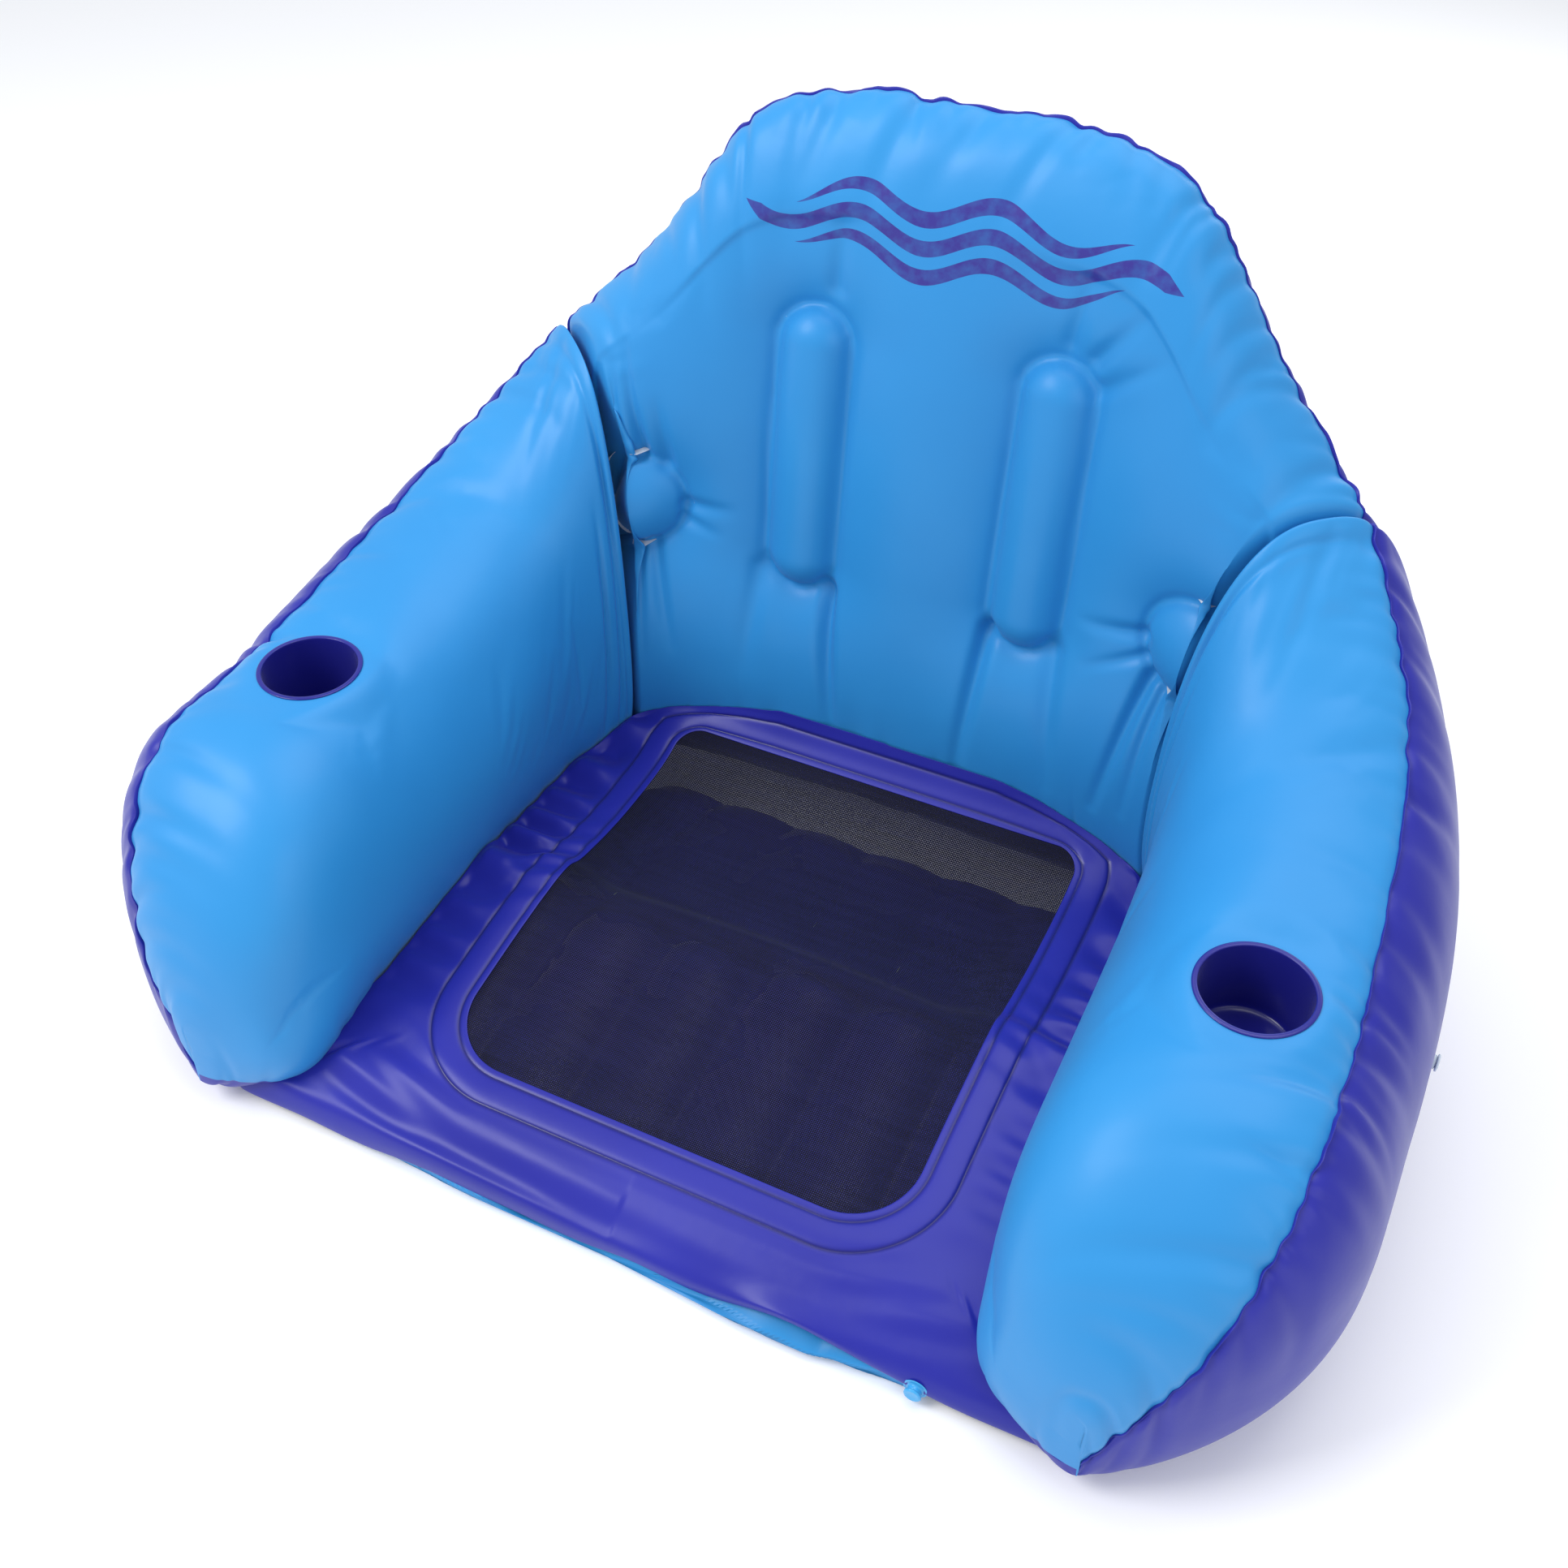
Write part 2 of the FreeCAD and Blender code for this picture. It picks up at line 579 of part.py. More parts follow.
def main():
    """Write each piece as a STEP file of its own name."""
    os.makedirs("parts", exist_ok=True)
    nodes, places = build()
    move = Vector(0, DEPTH_SHIFT, 0)
    for name, shape in nodes.items():
        shape.translate(move)
        print(name, len(shape.Solids), shape.isValid(), round(shape.Volume))
        shape.exportStep("parts/%s.step" % name)
    for name, spot in places.items():
        print("valve", name, spot + move)
    print("cup", CUP_X, CUP_Y + DEPTH_SHIFT, ARM_HEIGHT + CUP_LIP_HEIGHT, "shift", DEPTH_SHIFT)


main()
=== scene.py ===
"""Inflatable pool lounge chair: air-filled arms and backrest, a net seat, two drink holders and four valves.

Everything is in metres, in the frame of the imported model: +Z up, +Y to the back of the chair, +X to
the right of someone who faces the seat.
"""
import logging
import math
from dataclasses import dataclass, field, replace
from enum import Enum
from typing import Optional, Sequence

import bmesh
import bpy
import numpy as np
from mathutils import Euler, Matrix, Vector
from mathutils.bvhtree import BVHTree


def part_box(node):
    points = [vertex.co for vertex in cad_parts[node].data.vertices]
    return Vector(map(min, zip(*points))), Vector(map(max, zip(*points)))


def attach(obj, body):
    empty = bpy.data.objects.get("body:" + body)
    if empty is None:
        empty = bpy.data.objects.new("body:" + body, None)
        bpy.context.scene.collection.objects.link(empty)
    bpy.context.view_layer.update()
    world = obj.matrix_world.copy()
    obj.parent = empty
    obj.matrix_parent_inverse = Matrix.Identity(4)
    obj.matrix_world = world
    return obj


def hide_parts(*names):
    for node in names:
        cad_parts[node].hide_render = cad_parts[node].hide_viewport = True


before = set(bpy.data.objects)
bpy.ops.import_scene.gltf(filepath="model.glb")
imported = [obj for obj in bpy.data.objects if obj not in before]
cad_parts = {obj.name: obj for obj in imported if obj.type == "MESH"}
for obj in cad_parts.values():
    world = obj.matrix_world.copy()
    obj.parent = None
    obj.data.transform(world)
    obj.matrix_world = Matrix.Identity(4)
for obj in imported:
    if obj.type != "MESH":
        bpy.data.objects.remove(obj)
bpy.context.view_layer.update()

LOG = logging.getLogger("pool_chair")
MM = 0.001
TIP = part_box("right_arm_inner_panel")[0].y - 4.0 * MM
SEAT_HALF = 0.302
CORNER_IN = 0.040
BACK_FOOT = TIP + 0.550
SECTION_POWER = 2.6
FOOT_SHARE = 0.14
WELD_LINE = "weld_line"


class Body(Enum):
    """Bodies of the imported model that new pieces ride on."""

    CHAIR = "root"
    RIGHT_ARM_PLUG = "right_arm_plug"
    LEFT_ARM_PLUG = "left_arm_plug"
    BACK_PLUG = "back_plug"
    SEAT_PLUG = "seat_plug"


class Panel(Enum):
    """The two films of a chamber, as material indices of its shell."""

    LIGHT = 0
    DARK = 1


# ---------------------------------------------------------------- materials


class Nodes:
    """Small helper that adds and links shader nodes in one material."""

    def __init__(self, name: str) -> None:
        """Start an empty material.

        Args:
            name: the material's name.
        """
        self.material = bpy.data.materials.new(name)
        self.material.use_nodes = True
        self.tree = self.material.node_tree
        self.tree.nodes.clear()
        self.output = self.tree.nodes.new("ShaderNodeOutputMaterial")

    def add(self, kind: str, **values: object) -> bpy.types.Node:
        """Add a node and set its properties or inputs.

        Args:
            kind: the node's type, without its ShaderNode prefix.
            values: properties by name, or inputs by name with underscores for spaces.

        Returns:
            The new node.
        """
        node = self.tree.nodes.new("ShaderNode" + kind)
        for key, value in values.items():
            if hasattr(node, key):
                setattr(node, key, value)
            else:
                node.inputs[key.replace("_", " ")].default_value = value
        return node

    def link(self, source: bpy.types.NodeSocket, target: bpy.types.NodeSocket) -> None:
        """Join two sockets."""
        self.tree.links.new(source, target)

    def math(self, operation: str, first: object, second: object = 0.0,
             third: object = 0.0) -> bpy.types.NodeSocket:
        """Add a math node whose inputs are sockets or numbers.

        Args:
            operation: the node's operation.
            first: first input.
            second: second input.
            third: third input.

        Returns:
            The node's result.
        """
        node = self.add("Math", operation=operation)
        for slot, value in zip(node.inputs, (first, second, third)):
            if isinstance(value, bpy.types.NodeSocket):
                self.link(value, slot)
            else:
                slot.default_value = value
        return node.outputs[0]

    def place(self) -> bpy.types.NodeSocket:
        """Object coordinates."""
        return self.add("TexCoord").outputs["Object"]

    def noise(self, scale: float, detail: float = 3.0,
              stretch: Sequence[float] = (1.0, 1.0, 1.0)) -> bpy.types.NodeSocket:
        """Noise over object coordinates.

        Args:
            scale: the noise's scale per metre.
            detail: its octaves.
            stretch: scale of each axis.

        Returns:
            The noise's value.
        """
        mapping = self.add("Mapping")
        mapping.inputs["Scale"].default_value = stretch
        self.link(self.place(), mapping.inputs["Vector"])
        texture = self.add("TexNoise", Scale=scale, Detail=detail)
        self.link(mapping.outputs[0], texture.inputs["Vector"])
        return texture.outputs["Fac"]

    def ramp(self, value: bpy.types.NodeSocket, low: float, high: float, start: float,
             end: float) -> bpy.types.NodeSocket:
        """Map a value's range to another range.

        Args:
            value: the value.
            low: lowest input.
            high: highest input.
            start: result at the lowest input.
            end: result at the highest input.

        Returns:
            The mapped value.
        """
        node = self.add("MapRange", From_Min=low, From_Max=high, To_Min=start, To_Max=end)
        self.link(value, node.inputs["Value"])
        return node.outputs["Result"]

    def mix(self, share: object, first: object, second: object) -> bpy.types.NodeSocket:
        """Mix two colours.

        Args:
            share: how much of the second colour, as a socket or a number.
            first: first colour, as a socket or RGBA numbers.
            second: second colour, as a socket or RGBA numbers.

        Returns:
            The mixed colour.
        """
        node = self.add("Mix", data_type="RGBA")
        for slot, value in ((node.inputs[0], share), (node.inputs[6], first), (node.inputs[7], second)):
            if isinstance(value, bpy.types.NodeSocket):
                self.link(value, slot)
            else:
                slot.default_value = value
        return node.outputs[2]

    def bump(self, height: bpy.types.NodeSocket, distance: float,
             strength: float = 1.0) -> bpy.types.NodeSocket:
        """Bumped normal from a height.

        Args:
            height: the height.
            distance: the height's size in metres.
            strength: how much of it to use.

        Returns:
            The normal.
        """
        node = self.add("Bump", Strength=strength, Distance=distance)
        self.link(height, node.inputs["Height"])
        return node.outputs["Normal"]

    def surface(self, shader: bpy.types.NodeSocket) -> bpy.types.Material:
        """Finish the material with its surface shader."""
        self.link(shader, self.output.inputs["Surface"])
        return self.material


def rgba(colour: Sequence[float]) -> tuple[float, float, float, float]:
    """A colour with full alpha."""
    return (colour[0], colour[1], colour[2], 1.0)


@dataclass(frozen=True)
class StripePrint:
    """A band of wavy stripes printed on the headrest."""

    colour: tuple[float, float, float] = (0.036, 0.022, 0.24)
    middle_x: float = 0.012
    middle_z: float = 0.634
    half_length: float = 0.195
    half_height: float = 0.030
    wave: float = 0.010
    wave_length: float = 0.125
    stripes: int = 3
    stripe_share: float = 0.56

    def mask(self, nodes: Nodes) -> bpy.types.NodeSocket:
        """Where the print's ink is.

        Args:
            nodes: the material that the mask is for.

        Returns:
            One on the ink and zero beside it.
        """
        split = nodes.add("SeparateXYZ")
        nodes.link(nodes.place(), split.inputs[0])
        across = nodes.math("SUBTRACT", split.outputs[0], self.middle_x)
        turn = nodes.math("MULTIPLY", across, 2.0 * math.pi / self.wave_length)
        wave = nodes.math("MULTIPLY", nodes.math("SINE", turn), self.wave)
        level = nodes.math("SUBTRACT", split.outputs[2], self.middle_z)
        level = nodes.math("SUBTRACT", level, wave)
        share = nodes.math("DIVIDE", nodes.math("ABSOLUTE", across), self.half_length)
        taper = nodes.math("SUBTRACT", 1.0, nodes.math("POWER", share, 3.0))
        reach = nodes.math("MULTIPLY", nodes.math("MAXIMUM", taper, 0.0), self.half_height)
        inside = nodes.math("LESS_THAN", nodes.math("ABSOLUTE", level), reach)
        pitch = 2.0 * self.half_height / (self.stripes - 1.0 + self.stripe_share)
        shifted = nodes.math("ADD", level, self.half_height)
        phase = nodes.math("FRACT", nodes.math("DIVIDE", shifted, pitch))
        stripe = nodes.math("LESS_THAN", phase, self.stripe_share)
        return nodes.math("MULTIPLY", inside, stripe)


@dataclass(frozen=True)
class Vinyl:
    """Soft PVC film with a satin face, fine grain and a slight bloom."""

    name: str
    colour: tuple[float, float, float]
    shade: tuple[float, float, float]
    roughness: float = 0.43
    coat: float = 0.05
    ink: Optional[StripePrint] = None
    weld: bool = False
    gloss: float = 0.30

    def material(self) -> bpy.types.Material:
        """Make the film's material."""
        nodes = Nodes(self.name)
        shader = nodes.add("BsdfPrincipled")
        shader.inputs["Specular IOR Level"].default_value = 0.5
        shader.inputs["Coat Weight"].default_value = self.coat
        shader.inputs["Coat Roughness"].default_value = 0.22
        shader.inputs["Sheen Weight"].default_value = 0.05
        cloud = nodes.noise(5.0, 3.0)
        colour = nodes.mix(nodes.ramp(cloud, 0.3, 0.7, 0.0, 1.0), rgba(self.shade), rgba(self.colour))
        rough = nodes.ramp(nodes.noise(9.0, 4.0), 0.3, 0.7, self.roughness - 0.05, self.roughness + 0.06)
        if self.ink is not None:
            mask = self.ink.mask(nodes)
            wear = nodes.ramp(nodes.noise(90.0, 5.0), 0.32, 0.62, 0.72, 0.97)
            ink = nodes.math("MULTIPLY", mask, wear)
            colour = nodes.mix(ink, colour, rgba(self.ink.colour))
            rough = nodes.math("ADD", rough, nodes.math("MULTIPLY", mask, -0.06))
        if self.weld:
            line = nodes.add("Attribute", attribute_name=WELD_LINE).outputs["Fac"]
            colour = nodes.mix(nodes.math("MULTIPLY", line, 0.72), colour, rgba((0.010, 0.009, 0.060)))
            rough = nodes.math("SUBTRACT", rough, nodes.math("MULTIPLY", line, 0.14))
        nodes.link(colour, shader.inputs["Base Color"])
        nodes.link(rough, shader.inputs["Roughness"])
        shader.inputs["Specular IOR Level"].default_value = self.gloss
        grain = nodes.math("MULTIPLY", nodes.noise(1500.0, 2.0), 0.35)
        ripple = nodes.noise(42.0, 3.0)
        normal = nodes.bump(nodes.math("ADD", grain, nodes.math("MULTIPLY", ripple, 4.0)), 0.00012, 0.5)
        nodes.link(normal, shader.inputs["Normal"])
        return nodes.surface(shader.outputs[0])


@dataclass(frozen=True)
class Net:
    """Black woven net with small holes that show what lies under it, and painted highlight bands on its
    threads.
    """

    name: str = "black_net"
    pitch: float = 0.0017
    thread_share: float = 0.55
    colour: tuple[float, float, float] = (0.0030, 0.0032, 0.012)
    # painted highlight: a lighter thread colour for the bands where light falls on the net over the channel
    # tops
    painted_highlight: tuple[float, float, float] = (0.006, 0.0065, 0.024)

    def material(self) -> bpy.types.Material:
        """Make the net's material."""
        nodes = Nodes(self.name)
        shader = nodes.add("BsdfPrincipled", Roughness=0.78)
        shader.inputs["Specular IOR Level"].default_value = 0.25
        shader.inputs["Sheen Weight"].default_value = 0.04
        shader.inputs["Sheen Roughness"].default_value = 0.5
        split = nodes.add("SeparateXYZ")
        nodes.link(nodes.place(), split.inputs[0])
        threads = []
        heights = []
        for axis in (0, 1):
            phase = nodes.math("FRACT", nodes.math("DIVIDE", split.outputs[axis], self.pitch))
            middle = nodes.math("ABSOLUTE", nodes.math("SUBTRACT", phase, 0.5))
            threads.append(nodes.math("LESS_THAN", middle, self.thread_share / 2.0))
            heights.append(nodes.math("SUBTRACT", 0.5, middle))
        thread = nodes.math("MAXIMUM", threads[0], threads[1])
        height = nodes.math("MAXIMUM", heights[0], heights[1])
        # painted highlight: noise bands that mix the net's black towards the lighter painted highlight colour
        highlight_bands = nodes.noise(160.0, 2.0, (0.04, 1.0, 1.0))
        colour = nodes.mix(nodes.ramp(highlight_bands, 0.35, 0.65, 0.0, 1.0), rgba(self.colour), rgba(self.painted_highlight))
        nodes.link(colour, shader.inputs["Base Color"])
        nodes.link(nodes.bump(height, 0.0006), shader.inputs["Normal"])
        hole = nodes.add("BsdfTransparent")
        mixed = nodes.add("MixShader")
        nodes.link(thread, mixed.inputs[0])
        nodes.link(hole.outputs[0], mixed.inputs[1])
        nodes.link(shader.outputs[0], mixed.inputs[2])
        return nodes.surface(mixed.outputs[0])


LIGHT_BLUE = (0.026, 0.268, 0.620)
LIGHT_BLUE_SHADE = (0.022, 0.242, 0.580)
LIGHT_FILM = Vinyl("light_blue_vinyl", LIGHT_BLUE, LIGHT_BLUE_SHADE)
PRINTED_FILM = Vinyl("light_blue_printed_vinyl", LIGHT_BLUE, LIGHT_BLUE_SHADE, ink=StripePrint())
DARK_FILM = Vinyl("indigo_vinyl", (0.018, 0.021, 0.330), (0.014, 0.016, 0.275), 0.40, 0.06)
SEAT_FILM = Vinyl("seat_indigo_vinyl", (0.018, 0.021, 0.330), (0.014, 0.016, 0.275), 0.36, 0.04, weld=True)
CUSHION_FILM = Vinyl("cushion_vinyl", (0.090, 0.080, 0.720), (0.074, 0.066, 0.600), 0.26, 0.3, gloss=0.5)
HOLDER_FILM = Vinyl("moulded_dark_blue", (0.011, 0.013, 0.240), (0.009, 0.010, 0.200), 0.22, 0.30)
VALVE_FILM = Vinyl("soft_clear_vinyl", (0.62, 0.70, 0.78), (0.55, 0.63, 0.72), 0.25, 0.4)
VALVE_BLUE = Vinyl("soft_light_blue_vinyl", (0.045, 0.380, 0.740), (0.038, 0.340, 0.680), 0.25, 0.4)
INNER_FILM = Vinyl("clear_inner_vinyl", (0.55, 0.62, 0.70), (0.48, 0.56, 0.66), 0.3, 0.2)


# ---------------------------------------------------------------- sections


@dataclass(frozen=True)
class Cut:
    """One upright cut across a chamber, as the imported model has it."""

    x: float
    y: float
    turn: float
    width: float
    height: float
    seam: float
    lean: float = 0.0
    taper: float = 0.0
    lift: float = 0.0

    def row(self) -> np.ndarray:
        """The cut's numbers in a row."""
        return np.array([self.x, self.y, self.turn, self.width, self.height, self.seam, self.lean,
                         self.taper, self.lift])

    def shifted(self, distance: float) -> "Cut":
        """The same cut, moved along the chamber."""
        return replace(self, x=self.x - math.sin(self.turn) * distance,
                       y=self.y + math.cos(self.turn) * distance)

    def mirrored(self) -> "Cut":
        """The same cut on the other side of the chair."""
        return replace(self, x=-self.x, turn=math.pi - self.turn)


def blend(low: float, high: float, share: float) -> float:
    """Value between two values."""
    return low + (high - low) * share


def smooth_row(rows: np.ndarray, place: float) -> np.ndarray:
    """Catmull-Rom value between rows.

    Args:
        rows: one row of numbers per cut.
        place: position from 0, the first row, to the last row's index.

    Returns:
        The interpolated row.
    """
    last = len(rows) - 1
    index = min(int(place), last - 1)
    share = place - index
    before, start, end, after = (rows[min(max(index + step, 0), last)] for step in (-1, 0, 1, 2))
    slope_in = (end - before) / 2.0
    slope_out = (after - start) / 2.0
    cubic = 2.0 * (start - end) + slope_in + slope_out
    square = 3.0 * (end - start) - 2.0 * slope_in - slope_out
    return start + share * (slope_in + share * (square + share * cubic))


PINCH_ANGLE = math.radians(128.0)
PINCH_SPREAD = math.radians(34.0)


def section(cut: np.ndarray, angles: np.ndarray, inset: float, pinch: float = 0.0) -> np.ndarray:
    """Points of a section, whose inset is largest above the inner wall.

    Args:
        cut: a cut's row of numbers.
        angles: angles in radians, 0 at the outer wall, a quarter turn at the top.
        inset: how much smaller the section is all round.
        pinch: how much more the inset grows above the inner wall, as a share.

    Returns:
        One point per angle.
    """
    x, y, turn, width, height, _, lean, taper, lift = cut
    power = 2.0 / SECTION_POWER
    across = np.cos(angles)
    upward = np.sin(angles)
    half_height = height / 2.0
    inset = inset * (1.0 + pinch * np.exp(-(((angles - PINCH_ANGLE) / PINCH_SPREAD) ** 2)))
    level = half_height + np.sign(upward) * np.abs(upward) ** power * np.maximum(half_height - inset, 0.0005)
    half_width = width / 2.0 * (1.0 - taper * level / height)
    reach = half_width + np.sign(across) * np.abs(across) ** power * np.maximum(half_width - inset, 0.0005)
    reach = reach + lean * level
    return np.stack([x + math.cos(turn) * reach, y + math.sin(turn) * reach, level + lift], axis=1)


def seam_at(share: float) -> float:
    """Angle of a rim weld that lies at a share of the width on the top face."""
    offset = 2.0 * share - 1.0
    return math.acos(math.copysign(abs(offset) ** (SECTION_POWER / 2.0), offset))


ARM_SEAM = seam_at(0.78)
CORNER_SEAM = seam_at(0.72)
BACK_SEAM = seam_at(0.52)
NOSE_SEAM = math.radians(-25.0)
FOOT_ANGLE = math.pi + math.asin((1.0 - 2.0 * FOOT_SHARE) ** (SECTION_POWER / 2.0))


def even_run(cut: np.ndarray, start: float, end: float, count: int, inset: float, pinch: float) -> np.ndarray:
    """Points spaced evenly along part of a section.

    Args:
        cut: a cut's row of numbers.
        start: first angle.
        end: last angle.
        count: number of steps.
        inset: how much smaller the section is all round.
        pinch: how much more the inset grows above the inner wall, as a share.

    Returns:
        count + 1 points.
    """
    dense = section(cut, np.linspace(start, end, 6 * count), inset, pinch)
    along = np.concatenate([[0.0], np.cumsum(np.linalg.norm(np.diff(dense, axis=0), axis=1))])
    even = np.linspace(0.0, along[-1], count + 1)
    return np.stack([np.interp(even, along, dense[:, axis]) for axis in range(3)], axis=1)


def step_sum(points: np.ndarray, axis: int) -> np.ndarray:
    """Distance along one axis of a grid of points."""
    steps = np.linalg.norm(np.diff(points, axis=axis), axis=2)
    start = np.zeros_like(np.take(steps, [0], axis=axis))
    return np.concatenate([start, np.cumsum(steps, axis=axis)], axis=axis)


def grid_normals(points: np.ndarray, closed: bool) -> np.ndarray:
    """Unit normals of a grid of points.

    Args:
        points: the grid, by place along and place round.
        closed: true where the last point round is the first one again.

    Returns:
        Normals, one per point.
    """
    along = np.gradient(points, axis=0)
    if closed:
        wrapped = np.concatenate([points[:, -2:-1], points, points[:, 1:2]], axis=1)
        across = np.gradient(wrapped, axis=1)[:, 1:-1]
    else:
        across = np.gradient(points, axis=1)
    normal = np.cross(along, across)
    size = np.linalg.norm(normal, axis=2, keepdims=True)
    return normal / np.maximum(size, 1e-9)


def smoothstep(value: np.ndarray, low: float, high: float) -> np.ndarray:
    """Smooth step from 0 at low to 1 at high."""
    share = np.clip((value - low) / (high - low), 0.0, 1.0)
    return share * share * (3.0 - 2.0 * share)


# ---------------------------------------------------------------- creases


@dataclass
class Puckers:
    """Short valleys that run away from a weld, as a flat film makes when it is blown up."""

    seed: int
    length: float
    spacing: tuple[float, float] = (0.012, 0.034)
    depth: tuple[float, float] = (0.0012, 0.0042)
    reach: tuple[float, float] = (0.016, 0.060)
    width: tuple[float, float] = (0.0030, 0.0065)
    slant: float = 0.35

    def __post_init__(self) -> None:
        """Draw the valleys' places and sizes."""
        draw = np.random.default_rng(self.seed)
        spots = []
        place = 0.0
        while place < self.length:
            place += draw.uniform(*self.spacing)
            strong = draw.random() ** 1.7
            far = 0.6 * strong + 0.4 * draw.random()
            spots.append((place, blend(*self.depth, strong), blend(*self.reach, far),
                          draw.uniform(*self.width), draw.uniform(-self.slant, self.slant)))
        self.spots = np.array(spots)

    def depth_at(self, along: np.ndarray, away: np.ndarray) -> np.ndarray:
        """Depth of the valleys.

        Args:
            along: distance along the weld.
            away: distance from the weld.

        Returns:
            Depth, zero or more.
        """
        total = np.zeros_like(along)
        for place, depth, reach, width, slant in self.spots:
            offset = along - place - slant * away
            spread = width * (1.0 + 0.6 * away / reach)
            total += depth * np.exp(-((offset / spread) ** 2)) * np.exp(-((away / reach) ** 2))
        return total


# ---------------------------------------------------------------- meshes


def new_object(name: str, mesh: bpy.types.Mesh) -> bpy.types.Object:
    """Link a mesh as a new object at the origin."""
    made = bpy.data.objects.new(name, mesh)
    bpy.context.scene.collection.objects.link(made)
    return made


def finish_mesh(shape: bmesh.types.BMesh, name: str, smooth: bool = True) -> bpy.types.Object:
    """Turn a bmesh into an object.

    Args:
        shape: the bmesh, which is freed.
        name: the object's name.
        smooth: true for smooth shading.

    Returns:
        The new object.
    """
    mesh = bpy.data.meshes.new(name)
    for face in shape.faces:
        face.smooth = smooth
    shape.to_mesh(mesh)
    shape.free()
    return new_object(name, mesh)


def warped_grid(points: np.ndarray) -> bmesh.types.BMesh:
    """A grid whose vertices are moved to given points.

    Args:
        points: the grid's points, by place along and place across.

    Returns:
        The bmesh, whose vertices keep their place in the layers "along" and "across".
    """
    rows, columns = points.shape[:2]
    shape = bmesh.new()
    bmesh.ops.create_grid(shape, x_segments=rows - 1, y_segments=columns - 1, size=0.5)
    along = shape.verts.layers.int.new("along")
    across = shape.verts.layers.int.new("across")
    for vert in shape.verts:
        row = round((vert.co.x + 0.5) * (rows - 1))
        column = round((vert.co.y + 0.5) * (columns - 1))
        vert[along] = row
        vert[across] = column
        vert.co = points[row, column]
    return shape


def dress(piece: bpy.types.Object, material: bpy.types.Material, body: Body, slot: str, *nodes: str) -> None:
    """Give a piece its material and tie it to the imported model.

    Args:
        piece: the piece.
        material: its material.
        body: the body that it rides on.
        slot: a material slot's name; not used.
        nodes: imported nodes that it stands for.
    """
    piece.data.materials.clear()
    piece.data.materials.append(material)
    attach(piece, body.value)
    if nodes:
        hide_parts(*nodes)
    LOG.info("%s: %d faces", piece.name, len(piece.data.polygons))


def subdivide(piece: bpy.types.Object, levels: int = 1) -> None:
    """Add a subdivision surface."""
    modifier = piece.modifiers.new("subdivision", "SUBSURF")
    modifier.levels = levels
    modifier.render_levels = levels


def spun(profile: Sequence[tuple[float, float]], steps: int) -> bmesh.types.BMesh:
    """Turn a profile round the Z axis.

    Args:
        profile: (radius, height) pairs, from the axis out and back to the axis.
        steps: number of steps round.

    Returns:
        The closed bmesh.
    """
    shape = bmesh.new()
    verts = [shape.verts.new((radius, 0.0, height)) for radius, height in profile]
    edges = [shape.edges.new(pair) for pair in zip(verts, verts[1:])]
    bmesh.ops.spin(shape, geom=verts + edges, cent=(0, 0, 0), axis=(0, 0, 1), angle=2.0 * math.pi,
                   steps=steps,
                   use_merge=True)
    bmesh.ops.remove_doubles(shape, verts=shape.verts, dist=1e-6)
    bmesh.ops.recalc_face_normals(shape, faces=shape.faces)
    return shape


# ---------------------------------------------------------------- chambers


